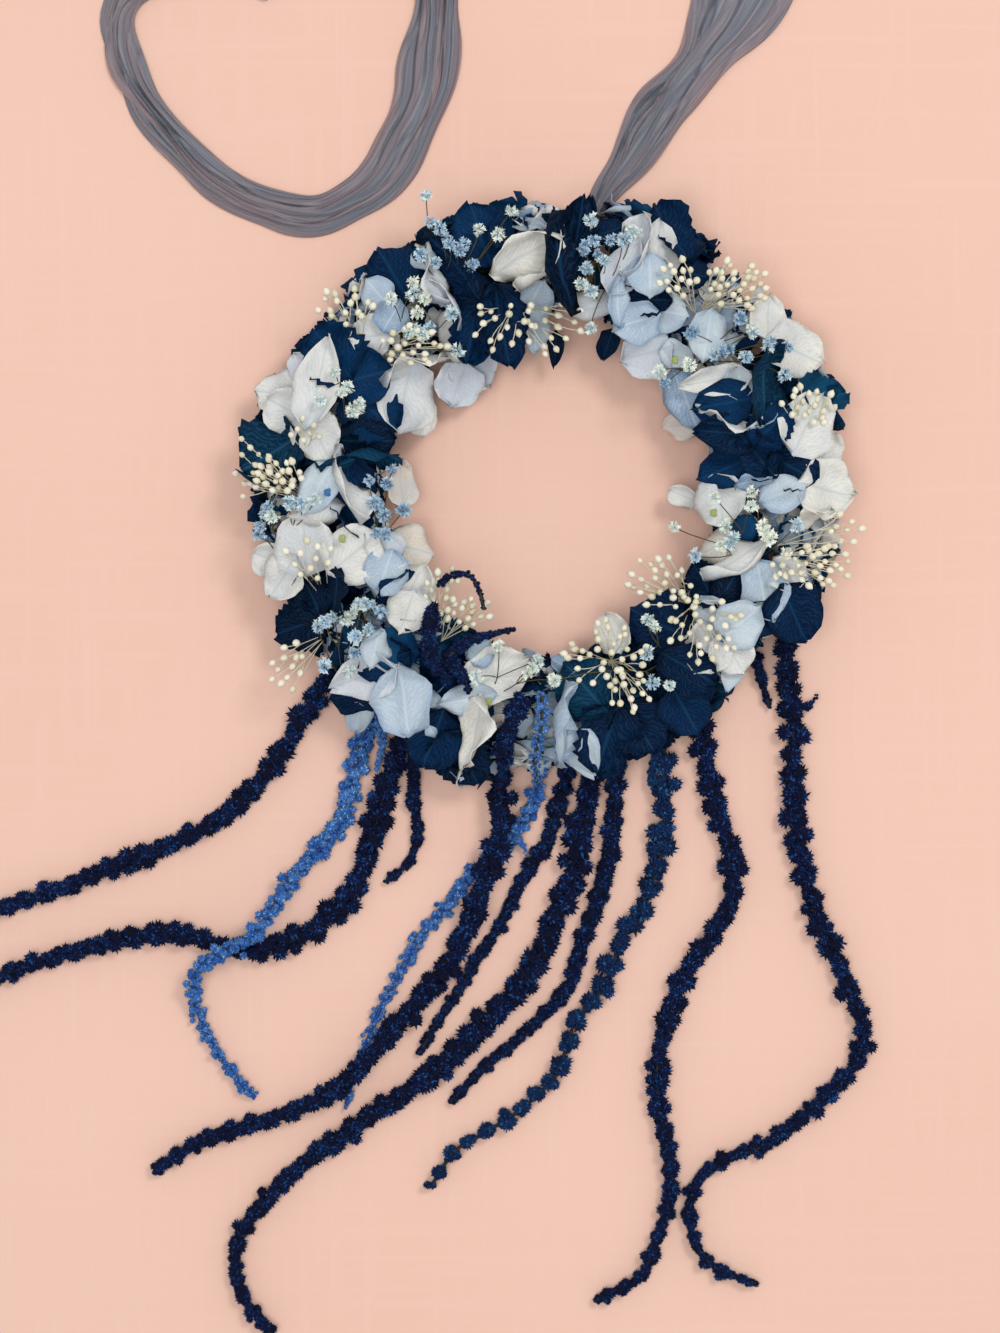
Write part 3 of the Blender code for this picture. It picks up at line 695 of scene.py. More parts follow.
# How wide the two tails are together, in mm, at shares of their length
RIBBON_SPREAD = [(0.0, 6), (0.03, 9), (0.07, 17), (0.14, 26), (0.22, 36), (0.3, 34), (0.5, 24),
                 (0.6, 23), (0.66, 17), (0.75, 17), (0.88, 15), (1.0, 19)]
CLOTH_COLUMNS = 64


def ribbon_tail(name, side, level, mat):
    """One tail: a strip of silk drawn into uneven lengthwise folds, along the ribbon's route."""
    line = [polar(RIBBON_DEG, HOOP_RADIUS + 5 * MM)]
    line += [Vector((x * MM, y * MM, 0.0)) for x, y in RIBBON_ROUTE]
    route = smooth_route(line, 3.0 * MM)
    spots, widths = zip(*RIBBON_SPREAD)
    bm = bmesh.new()
    bm.loops.layers.uv.new("cloth")
    fold_layer = bm.verts.layers.float.new("fold")
    floor_show_through_layer = bm.verts.layers.float.new("floor_show_through")
    bmesh.ops.create_grid(bm, x_segments=CLOTH_COLUMNS, y_segments=len(route) - 1, size=1.0, calc_uvs=True)
    rows = sorted(bm.verts, key=lambda v: (round(v.co.y, 6), round(v.co.x, 6)))
    for i, centre in enumerate(route):
        share = i / (len(route) - 1)
        ahead = route[min(i + 1, len(route) - 1)] - route[max(i - 1, 0)]
        across = Vector((-ahead.y, ahead.x, 0.0)).normalized()
        spread = float(np.interp(share, spots, widths)) * MM
        edges = [0.44 * noise.noise(Vector((share * 19, side * 4.0, k))) for k in (1.0, 7.0)]
        width = spread * 0.72
        middle = side * spread * (0.15 + 0.06 * math.sin(share * 13 + side))
        deep = min(1.0, width / (15 * MM))
        for j in range(CLOTH_COLUMNS + 1):
            t = j / CLOTH_COLUMNS
            vert = rows[i * (CLOTH_COLUMNS + 1) + j]
            drift = noise.noise(Vector((share * 13 + side * 3, t * 2.2, 0.4)))
            drift += 0.4 * noise.noise(Vector((share * 40 + side * 3, t * 5.0, 2.4)))
            wide = 0.5 + 0.5 * math.cos(FULL_TURN * (t * 1.9 + drift * 1.3 + side * 0.3))
            mid = 0.5 + 0.5 * math.cos(FULL_TURN * (t * 4.7 + drift * 2.8))
            fine = 0.5 + 0.5 * math.cos(FULL_TURN * (t * 13 + drift * 3.6))
            furrow = max(0.0, 1 - abs(t - 0.5 - 0.32 * drift - 0.12 * math.sin(share * 9 + side)) / 0.06)
            lateral = (t - 0.5 + edges[0] * (1 - t) + edges[1] * t) * width
            # painted floor colour: towards the strip's edges the silk is marked to turn pinker, as if the
            # peach floor showed through it
            floor_show_through = max(0.0, abs(2 * t - 1) - 0.62 + 0.5 * drift) / 0.5
            crown = 1.0 - (2 * t - 1) ** 2 * 0.75
            height = 0.5 * MM + level * crown + deep * crown * (2.4 * wide + 1.1 * mid + 0.4 * fine) * MM
            height -= 1.6 * MM * furrow * deep * crown
            vert.co = centre + across * (middle + lateral) + Vector((0, 0, max(height, 0.4 * MM)))
            # painted shade: darker along the folds' hollows and in the furrow
            vert[fold_layer] = min(1.0, (1.0 - mid) ** 2 * 0.35 + (1.0 - wide) ** 2 * 0.35 + furrow)
            vert[floor_show_through_layer] = floor_show_through
    mesh = bpy.data.meshes.new(name)
    bmesh.ops.recalc_face_normals(bm, faces=bm.faces[:])
    bm.to_mesh(mesh)
    bm.free()
    mesh.shade_smooth()
    mesh.materials.append(mat)
    obj = add_piece(name + "_silk", mesh, "root", [name])
    thicken(obj, "cloth", 0.15 * MM, 1.0)


def ribbon_knot(mat):
    """The ribbon's turns round the wire: three gathered wraps side by side."""
    bm = bmesh.new()
    bm.loops.layers.uv.new("cloth")
    fold_layer = bm.verts.layers.float.new("fold")
    bmesh.ops.create_grid(bm, x_segments=40, y_segments=26, size=1.0, calc_uvs=True)
    middle = polar(RIBBON_DEG, HOOP_RADIUS, WIRE_HEIGHT)
    out = polar(RIBBON_DEG, 1.0)
    along = Vector((-out.y, out.x, 0.0))
    for vert in bm.verts:
        turn = vert.co.x * math.pi
        wrap = 0.5 + 0.5 * math.cos(vert.co.y * math.pi * 3)
        uneven = noise.noise(Vector((turn * 2, vert.co.y * 9, 3)))
        radius = 2.2 * MM + 1.0 * MM * wrap + 0.25 * MM * uneven
        # painted shade: darker between the wraps
        vert[fold_layer] = 1.0 - wrap
        around = out * math.cos(turn) + Vector((0, 0, math.sin(turn)))
        vert.co = middle + along * vert.co.y * 3.8 * MM + around * radius
    bmesh.ops.remove_doubles(bm, verts=bm.verts[:], dist=0.02 * MM)
    bmesh.ops.recalc_face_normals(bm, faces=bm.faces[:])
    mesh = bpy.data.meshes.new("ribbon_knot_wraps")
    bm.to_mesh(mesh)
    bm.free()
    mesh.shade_smooth()
    mesh.materials.append(mat)
    obj = add_piece("ribbon_knot_wraps", mesh, "root", ["ribbon_knot"])
    thicken(obj, "cloth", 0.2 * MM)


# ---------------------------------------------------------------- petals

def petal_shape(rows, columns, widest, blunt, cup, curl, wave, ruffle, teeth, seed):
    """A hydrangea sepal one unit long, centred: a grid drawn in to a stalk and a tip, cupped,
    with a wavy rim. teeth serrate its edge."""
    bm = bmesh.new()
    bm.loops.layers.uv.new("petal")
    shade = bm.verts.layers.float.new("shade")
    bmesh.ops.create_grid(bm, x_segments=columns, y_segments=rows, size=1.0, calc_uvs=True)
    for vert in bm.verts:
        u, v = vert.co.x, (vert.co.y + 1) / 2
        half = 0.05 + 0.45 * max(0.0, math.sin(math.pi * min(1.0, v ** widest))) ** blunt
        half *= 1 + 0.16 * noise.noise(Vector((v * 3.6, seed, math.copysign(2.0, u))))
        row = round(v * rows)
        notch = 1.0
        if teeth and 0 < row < rows:
            notch = 1.0 + teeth * (1 if row % 2 else -0.8) * abs(u) ** 4
        x = u * half * notch
        y = v - 0.5 + 0.10 * (1 - u * u) * (v - 0.5) - 0.02 * abs(u) * (1 - v)
        y += 0.06 * v ** 3 * noise.noise(Vector((u * 2.6, seed, 5.0)))
        bend = noise.noise(Vector((u * 1.1, v * 1.9, seed)))
        z = cup * (u * u) + curl * (v - 0.45) ** 2 + wave * bend * (0.4 + abs(u))
        z += ruffle * math.sin(v * 9.0 + seed * 2.0 + 1.5 * u) * abs(u) ** 3
        z += 0.035 * noise.noise(Vector((u * 3.2, v * 4.5, seed + 3.0)))
        # darker towards the stalk; a little lighter where the bend raises the petal, which is painted light
        # on its raised parts
        vert[shade] = -0.28 * max(0.0, 1 - v * 3.2) + 0.06 * bend
        vert.co = (x, y, z)
    return shape(bm)


def petal_shapes():
    """The kinds of sepal: round, pointed, serrated and curled, a few shapes of each."""
    return {
        "round": [petal_shape(9, 8, 0.84, 0.46, 0.06, 0.22, 0.22, 0.10, 0.0, s)
                  for s in (1.3, 4.1, 8.7, 11.2, 13.9, 17.3)],
        "pointed": [petal_shape(9, 6, 0.74, 0.80, 0.12, 0.30, 0.16, 0.07, 0.0, s)
                    for s in (2.2, 5.9)],
        "toothed": [petal_shape(15, 8, 0.84, 0.48, 0.08, 0.26, 0.24, 0.11, 0.09, s)
                    for s in (3.4, 6.6, 9.2, 12.5)],
        "curled": [petal_shape(9, 8, 0.80, 0.52, -0.20, -0.30, 0.22, 0.11, 0.0, s)
                   for s in (5.2, 8.1, 14.4)],
    }


# Each bunch: first and last degree round the hoop, reach inward and outward in mm, and the colours
# that its small petals take in turn.
BUNCHES = {
    "hydrangea_pale_right_back": (41, 57, 22, 25, "pale pale white navy"),
    "hydrangea_navy_right_back": (57, 76.2, 20, 32, "navy navy pale navy"),
    "hydrangea_white_back": (84.8, 98, 20, 27, "white white navy pale"),
    "hydrangea_navy_back": (98, 118, 24, 29, "navy navy navy teal"),
    "hydrangea_navy_left_back": (118, 137, 23, 27, "navy pale white navy"),
    "hydrangea_white_left_back": (137, 148, 24, 26, "white pale white navy"),
    "hydrangea_navy_left_high": (148, 158, 20, 28, "navy teal navy navy"),
    "hydrangea_white_left": (158, 170, 20, 34, "white white navy teal"),
    "hydrangea_teal_left": (170, 186, 24, 35, "navy teal navy white"),
    "hydrangea_white_left_low": (186, 202, 24, 33, "white white pale navy"),
    "hydrangea_navy_left_low": (202, 216, 24, 31, "navy navy teal pale"),
    "hydrangea_speckled_front_left": (216, 234, 22, 27, "pale pale navy white"),
    "hydrangea_navy_front_left": (234, 246, 24, 27, "navy navy navy teal"),
    "hydrangea_navy_front_edge": (246, 257, 20, 40, "navy navy navy pale"),
    "hydrangea_white_front": (257, 268, 22, 30, "white pale white navy"),
    "hydrangea_pale_front": (268, 279, 20, 30, "pale pale navy white"),
    "hydrangea_navy_front": (279, 294, 20, 30, "navy navy teal navy"),
    "hydrangea_navy_front_right": (294, 309, 23, 29, "navy navy teal navy"),
    "hydrangea_white_front_right": (309, 328, 23, 22, "white white navy navy"),
    "hydrangea_navy_right_low": (328, 345, 22, 34, "navy navy pale teal"),
    "hydrangea_white_right": (345, 372, 24, 34, "white navy white pale"),
    "hydrangea_teal_right_high": (12, 27, 24, 36, "teal navy navy pale"),
    "hydrangea_white_right_high": (27, 41, 20, 35, "white pale white navy"),
}

# The large petals that show on top: middle x and y in mm, the way that the tip points in degrees,
# length and width in mm, kind, colour, tint, and how far it is lifted off the others in mm. A kind
# of "f" is a round petal that leans over on its side.
LARGE_PETALS = [
    (-64, 84, 120, 23, 22, "t", "navy", 0.4, 2), (-58, 93, 85, 9, 8, "p", "navy", 0.3, 0),
    (-71, 77, 130, 13, 12, "r", "pale", 0.4, 1), (-65, 67, 60, 13, 12, "r", "pale", 0.2, 1),
    (-74, 59, 185, 15, 15, "r", "white", 0.3, 3), (-49, 83, 105, 23, 10, "f", "white", 0.2, 3),
    (-43, 74, 122, 23, 9, "f", "white", 0.1, 4), (-52, 91, 100, 9, 9, "r", "pale", 0.7, 0),
    (-39, 59, 278, 20, 11, "c", "white", 0.5, 4), (-32, 48, 310, 19, 17, "r", "white", 0.05, 0),
    (-38, 41, 260, 17, 19, "r", "white", 0.05, -2), (-57, 48, 18, 26, 12, "f", "white", 0.3, 5),
    (-60, 35, 262, 27, 22, "r", "white", 0.25, 1), (-54, 27, 290, 14, 13, "r", "white", 0.6, -2),
    (-28, 100, 108, 26, 22, "t", "navy", 0.55, 2), (-20, 103, 78, 17, 8, "p", "navy", 0.4, 3),
    (-39, 88, 128, 31, 11, "f", "navy", 0.2, 5), (-31, 66, 262, 32, 19, "t", "navy", 0.4, 3),
    (-20, 65, 282, 32, 18, "t", "navy", 0.25, 4), (-10, 92, 28, 29, 15, "f", "white", 0.75, 7),
    (-3, 90, 50, 27, 10, "f", "white", 0.6, 8), (-7, 74, 65, 18, 15, "r", "pale", 0.5, 3),
    (-6, 63, 275, 16, 11, "p", "pale", 0.6, 2), (-89, 51, 128, 24, 23, "t", "navy", 0.6, 2),
    (-76, 42, 15, 20, 20, "r", "navy", 0.65, 2), (-74, 29, 325, 24, 22, "t", "navy", 0.6, 3),
    (-76, 16, 0, 21, 15, "t", "navy", 0.05, 1), (-79, 8, 8, 30, 10, "f", "teal", 0.6, 5),
    (-95, 39, 76, 34, 16, "p", "white", 0.35, 9), (-111, 36, 170, 21, 17, "r", "white", 0.35, 4),
    (-107, 28, 150, 20, 17, "r", "white", 0.3, 6), (-96, 18, 300, 21, 17, "r", "white", 0.35, 7),
    (-114, 24, 200, 8, 7, "p", "navy", 0.1, -4), (-115, 11, 205, 26, 25, "t", "teal", 0.25, 1),
    (-103, 47, 120, 11, 10, "r", "white", 0.1, 0), (-82, -8, 280, 29, 17, "t", "navy", 0.4, 2),
    (-84, -3, 288, 29, 10, "f", "white", 0.35, 9), (-95, -4, 240, 22, 13, "r", "pale", 0.85, 6),
    (-97, -13, 190, 21, 10, "c", "white", 0.3, 6), (-62, -1, 90, 18, 12, "r", "white", 1, -4),
    (-101, -27, 92, 23, 22, "r", "white", 0.25, 6), (-81, -31, 40, 23, 21, "r", "white", 0.5, 5),
    (-115, -33, 165, 16, 13, "r", "white", 0.4, 2), (-110, -40, 230, 19, 16, "r", "white", 0.4, 4),
    (-58, -28, 350, 18, 16, "r", "white", 0.92, 0), (-69, -28, 150, 17, 13, "r", "white", 0.1, 1),
    (-68, -39, 250, 18, 16, "r", "pale", 0.45, 2), (-65, -44, 42, 18, 8, "f", "navy", 0.5, 6),
    (-58, -47, 62, 23, 18, "r", "white", 0.5, 0), (-59, -55, 250, 17, 15, "r", "white", 0.55, 1),
    (-103, -60, 200, 21, 19, "t", "navy", 0.1, 0), (-98, -49, 120, 19, 15, "t", "navy", 0.05, 2),
    (-88, -48, 82, 19, 13, "f", "navy", 0.12, 4), (-65, -70, 172, 20, 16, "p", "navy", 0.85, 7),
    (-68, -75, 200, 20, 15, "t", "navy", 0.35, 4), (-76, -81, 200, 27, 17, "p", "white", 0.1, 6),
    (-72, -70, 250, 15, 9, "f", "pale", 0.8, 4), (-60, -91, 96, 27, 21, "r", "pale", 0.6, 5),
    (-54, -96, 118, 22, 16, "c", "pale", 0.5, 7), (-81, -90, 190, 19, 12, "r", "navy", 0.2, 1),
    (-80, -98, 250, 13, 10, "r", "pale", 0.6, -4), (-48, -107, 248, 25, 23, "r", "navy", 0.35, 1),
    (-36, -114, 292, 25, 22, "t", "navy", 0.1, 0), (-22, -81, 30, 26, 19, "r", "white", 0.55, 0),
    (-34, -91, 190, 21, 11, "c", "pale", 0.7, 4), (-30, -104, 256, 28, 13, "f", "white", 0.75, 5),
    (-36, -122, 250, 12, 6, "f", "white", 1, 0), (-28, -72, 60, 11, 9, "r", "pale", 0.4, 1),
    (74, 5, 200, 23, 14, "r", "navy", 0.55, 6), (86, 9, 130, 20, 15, "p", "navy", 0.25, 7),
    (100, 5, 330, 20, 18, "t", "navy", 0.2, 5), (84, -1, 8, 14, 6, "f", "pale", 0.1, 6),
    (57, -6, 160, 13, 8, "r", "white", 0.35, 1), (71, -9, 280, 20, 19, "r", "white", 0.3, 5),
    (96, -6, 20, 18, 13, "r", "pale", 0.6, 3), (114, -4, 350, 23, 21, "r", "white", 0.6, 2),
    (114, 10, 62, 19, 17, "r", "white", 0.45, 1), (108, -15, 20, 18, 8, "f", "white", 0.6, 3),
    (71, -27, 200, 18, 14, "c", "white", 0.7, 3), (81, -20, 60, 10, 9, "r", "navy", 0.8, 2),
    (78, -34, 25, 28, 9, "f", "white", 0.35, 6), (88, -46, 285, 23, 17, "r", "pale", 0.5, 7),
    (98, -39, 350, 16, 12, "r", "white", 0.3, 2), (65, -44, 120, 19, 13, "t", "navy", 0.15, 1),
    (74, -44, 60, 18, 13, "c", "navy", 0, 2), (101, -55, 300, 24, 22, "r", "navy", 0.3, 3),
    (87, -58, 250, 14, 14, "r", "navy", 0.3, 1), (65, -70, 240, 20, 18, "r", "white", 0.3, 6),
    (78, -60, 40, 19, 17, "r", "pale", 0.85, 5), (75, -71, 300, 18, 16, "r", "white", 0.35, 7),
    (67, -56, 120, 15, 12, "r", "pale", 0.7, 3), (75, -81, 255, 12, 8, "p", "pale", 0.85, 0),
    (46, -60, 150, 23, 21, "t", "navy", 0.25, 1), (57, -78, 330, 23, 17, "t", "navy", 0.2, 3),
    (65, -86, 280, 12, 6, "p", "navy", 0.2, -2), (56, -95, 300, 21, 19, "r", "navy", 0.35, 0),
    (15, -86, 130, 23, 22, "r", "teal", 0.35, 4), (24, -107, 255, 27, 24, "t", "navy", 0.25, 3),
    (37, -102, 300, 22, 21, "t", "navy", 0.15, 1), (5, -101, 86, 31, 9, "f", "pale", 0.5, 8),
    (13, -112, 300, 21, 15, "p", "pale", 0.75, 7), (6, -77, 150, 10, 8, "r", "pale", 0, 0),
    (27, -64, 110, 17, 12, "r", "white", 0.6, -3), (4, 88, 100, 38, 15, "f", "navy", 0, 6),
    (11, 98, 80, 31, 15, "t", "navy", 0.1, 7), (14, 105, 74, 22, 9, "p", "navy", 0.2, 5),
    (24, 102, 20, 13, 9, "r", "navy", 0.2, 2), (31, 87, 62, 23, 13, "p", "white", 0.1, 8),
    (37, 95, 68, 25, 10, "f", "white", 0.15, 7), (45, 96, 85, 23, 17, "c", "white", 0.3, 5),
    (41, 83, 270, 16, 15, "r", "pale", 0.5, 6), (51, 101, 112, 27, 16, "t", "navy", 0.35, 2),
    (60, 85, 350, 11, 11, "r", "navy", 0.2, 0), (39, 74, 0, 21, 11, "t", "navy", 0.1, 3),
    (17, 71, 190, 20, 10, "c", "white", 0.15, 5), (28, 73, 90, 19, 7, "f", "pale", 0.4, 6),
    (49, 69, 350, 15, 14, "r", "pale", 0.6, 4), (36, 65, 200, 18, 15, "r", "pale", 0.45, 4),
    (41, 53, 200, 20, 19, "r", "white", 0.1, 3), (53, 52, 350, 13, 11, "r", "pale", 0.9, 4),
    (65, 59, 260, 19, 13, "r", "pale", 0.85, 5), (25, 58, 250, 13, 8, "p", "navy", 0.1, -3),
    (3, 57, 268, 15, 6, "p", "navy", 0, 0), (91, 67, 80, 18, 15, "r", "white", 0.5, 0),
    (102, 54, 340, 23, 21, "r", "white", 0.6, -1), (69, 41, 188, 27, 11, "p", "white", 0.35, 7),
    (78, 39, 270, 12, 11, "r", "pale", 0.9, 6), (57, 34, 290, 23, 15, "r", "pale", 0.15, 1),
    (56, 24, 190, 15, 10, "r", "white", 1, -4), (88, 39, 80, 31, 17, "f", "teal", 0.3, 6),
    (72, 31, 190, 23, 16, "r", "navy", 0.6, 4), (74, 24, 165, 25, 7, "f", "white", 0.3, 8),
    (87, 23, 20, 17, 8, "f", "pale", 0.3, 7), (74, 19, 175, 25, 15, "p", "navy", 0.15, 6),
    (91, 21, 45, 19, 15, "t", "navy", 0.5, 5), (112, 35, 10, 23, 16, "t", "teal", 0.8, 0),
    (106, 22, 60, 25, 21, "r", "white", 0.45, 1),
]
KINDS = {"r": "round", "p": "pointed", "t": "toothed", "f": "round", "c": "curled"}
FOLDED_LEAN = 52                  # degrees
CROWN_TOP = 32.0 * MM
PETAL_LAYER = 1.9 * MM            # from one layer of large petals to the next
PETAL_GROWTH = 1.08


def bunch_at(x, y):
    """The bunch that is at this place round the hoop."""
    degrees = math.degrees(math.atan2(y, x)) % 360
    for name, (first, last, *_) in BUNCHES.items():
        if first <= degrees <= last or first <= degrees + 360 <= last:
            return name
    return "hydrangea_white_back" if degrees > RIBBON_DEG else "hydrangea_navy_right_back"


def top_at(x, y):
    """Height of the topmost petals at this place, and which way up they face there."""
    radius = math.hypot(x, y)
    share = (radius - HOOP_RADIUS) / (36 * MM)
    out = Vector((x, y, 0.0)).normalized()
    height = CROWN_TOP - 19 * MM * min(abs(share), 1.2) ** 2
    return height, (out * share * 0.75 + Vector((0, 0, 1))).normalized()


def small_petals(name, shapes, groups):
    """The petals all over a bunch's saddle: top, both sides and underneath."""
    first, last, inward, outward, mixture = BUNCHES[name]
    colours = mixture.split()
    span = last - first
    count = int(span * 2.6) + 8
    for k in range(count):
        degrees = first + span * (k + CHANCE.uniform(0.1, 0.9)) / count
        lean = math.copysign(CHANCE.uniform(0.12, 1.0), CHANCE.uniform(-1, 1))
        angle = lean * math.radians(112)
        reach = (outward if lean > 0 else inward) * MM
        size = CHANCE.uniform(13, 19) * MM
        out = polar(degrees, 1.0)
        offset = math.sin(angle) * (reach - 0.42 * size)
        height = 8.5 * MM + 9 * MM * max(math.cos(angle), -0.45)
        at = polar(degrees, HOOP_RADIUS + offset, height)
        normal = out * math.sin(angle) + Vector((0, 0, math.cos(angle) + 0.2))
        if abs(lean) < 0.4:
            CHANCE.uniform(14, 18)      # drawn and not used: it keeps the petals' arrangement
        normal = (normal.normalized() + Vector(CHANCE.uniform(-0.3, 0.3, 3))).normalized()
        tangent = Vector((-out.y, out.x, 0))
        fall = out * math.cos(angle) * CHANCE.uniform(-0.6, 1) * (1 if lean > 0 else -1)
        heading = tangent * CHANCE.uniform(-1, 1) + fall + Vector((0, 0, -abs(math.sin(angle)) * 0.4))
        colour = colours[k % len(colours)]
        dark = colour in ("navy", "teal")
        kinds = ["toothed", "toothed", "pointed"] if dark else ["round", "round", "curled"]
        kind = kinds[int(CHANCE.integers(3))]
        key = (kind, int(CHANCE.integers(len(shapes[kind]))), colour)
        places, tints = groups.setdefault(key, ([], []))
        places.append(place(at, heading, normal, (size * CHANCE.uniform(0.95, 1.25), size, size)))
        tints.append(CHANCE.uniform(0, 1))


# Flower centres between the large petals: x, y and colour (0 green-yellow, 1 blue)
EYES = [(-85, -25, 0), (-91, -6, 1), (-52, 60, 1), (52, 49, 0), (71, -66, 1), (-25, -92, 0), (68, -14, 0)]


def eye_bead():
    """A round bead; a few of them are a flower's centre."""
    bm = bmesh.new()
    bmesh.ops.create_icosphere(bm, subdivisions=2, radius=1.0)
    return shape(bm)


def petal_layers():
    """Which layer each large petal lies in, so that no two overlapping ones share a layer."""
    layers = []
    for k, (x, y, _, length, width, *_) in enumerate(LARGE_PETALS):
        taken = {layers[j] for j, (u, v, _, long, wide, *_) in enumerate(LARGE_PETALS[:k])
                 if math.hypot(x - u, y - v) < 0.27 * (length + width + long + wide)}
        layers.append(min(set(range(len(LARGE_PETALS))) - taken))
    return layers


def hydrangea(shapes, mats):
    """Every bunch: petals all over its saddle, then its own large petals on top."""
    order = ["navy", "teal", "pale", "white"]
    bunches = {name: {} for name in BUNCHES}
    for name in BUNCHES:
        small_petals(name, shapes, bunches[name])
    layers = petal_layers()
    for k, (x, y, heading, length, width, letter, colour, tint, lift) in enumerate(LARGE_PETALS):
        kind = KINDS[letter]
        height, normal = top_at(x * MM, y * MM)
        at = Vector((x * MM, y * MM, height + 0.5 * lift * MM + layers[k] * PETAL_LAYER))
        forward = polar(heading, 1.0)
        forward = forward - normal * forward.dot(normal)
        normal = (normal + Vector(CHANCE.uniform(-0.1, 0.1, 3))).normalized()
        if letter == "f":
            lean = math.radians(FOLDED_LEAN) * (1 if k % 2 else -1)
            normal.rotate(Matrix.Rotation(lean, 3, forward))
            width = width / math.cos(lean) * 0.85
            at.z += 0.12 * width * MM
        key = (kind, k % len(shapes[kind]), colour)
        places, tints = bunches[bunch_at(x, y)].setdefault(key, ([], []))
        grown = PETAL_GROWTH * MM
        places.append(place(at, forward, normal, (width * 1.12 * grown, length * grown, length * grown)))
        tints.append(tint)
    bead = eye_bead()
    for name, groups in bunches.items():
        made = [(shapes[kind][variant], places, tints, order.index(colour))
                for (kind, variant, colour), (places, tints) in groups.items()]
        beads, tints = [], []
        for x, y, blue in EYES:
            if bunch_at(x, y) == name:
                height, _ = top_at(x * MM, y * MM)
                for k in range(5):
                    out = polar(72 * k, 0.9 * MM if k else 0.0)
                    at = Vector((x * MM, y * MM, height + 5 * PETAL_LAYER)) + out
                    beads.append(place(at, Vector((1, 0, 0)), Vector((0, 0, 1)), (0.8 * MM,) * 3))
                    tints.append(0.75 * blue + 0.05 * k)
        made.append((bead, beads, tints, len(order)))
        mesh = gather(name + "_petals", made, [mats[c] for c in order + ["eye"]])
        obj = add_piece(name + "_petals", mesh, "root", [name])
        thicken(obj, "petal", 0.18 * MM, 0.0)


# ---------------------------------------------------------------- sprays of buds and florets

# Fans of ball buds: the spray, where its stems come out, the middle of the fan and half its size
# along x and y, all in mm, how many buds it has, and how far they stand above the petals in mm.
BUD_FANS = [
    ("bud_spray_left_back", (-79, 53), (-84, 71), (13, 8), 16, 6),
    ("bud_spray_left_back", (-71, 53), (-56, 54), (14, 8), 22, 8),
    ("bud_spray_back", (-15, 73), (-20, 63), (14, 10), 17, 8),
    ("bud_spray_back", (-14, 73), (1, 63), (14, 12), 18, 4),
    ("bud_spray_right_back", (61, 69), (52, 81), (8, 9), 14, 8),
    ("bud_spray_right_back", (63, 70), (78, 80), (14, 11), 32, 4),
    ("bud_spray_right_high", (106, 16), (107, 30), (13, 8), 20, 5),
    ("bud_spray_right", (93, -32), (109, -36), (19, 9), 34, 4),
    ("bud_spray_right", (95, -27), (122, -21), (8, 8), 9, 0),
    ("bud_spray_front_right", (58, -51), (46, -43), (14, 12), 28, 4),
    ("bud_spray_front_right", (60, -52), (63, -62), (16, 14), 30, 8),
    ("bud_spray_front", (26, -75), (23, -72), (18, 14), 34, 6),
    ("bud_spray_front", (26, -75), (32, -87), (10, 9), 16, 9),
    ("bud_spray_left", (-102, -7), (-113, 1), (12, 8), 28, 6),
    ("bud_spray_left", (-105, -7), (-126, 6), (6, 14), 9, 0),
    ("bud_spray_left", (-101, 10), (-100, 18), (7, 6), 7, 11),
    ("bud_spray_left_low", (-92, -50), (-98, -33), (11, 9), 11, 9),
    ("bud_spray_front_left_edge", (-91, -63), (-108, -77), (8, 11), 13, 4),
    ("bud_spray_front_left_inner", (-45, -67), (-34, -55), (11, 7), 18, 2),
    ("bud_spray_front_left_inner", (-48, -66), (-44, -45), (8, 10), 13, 2),
]

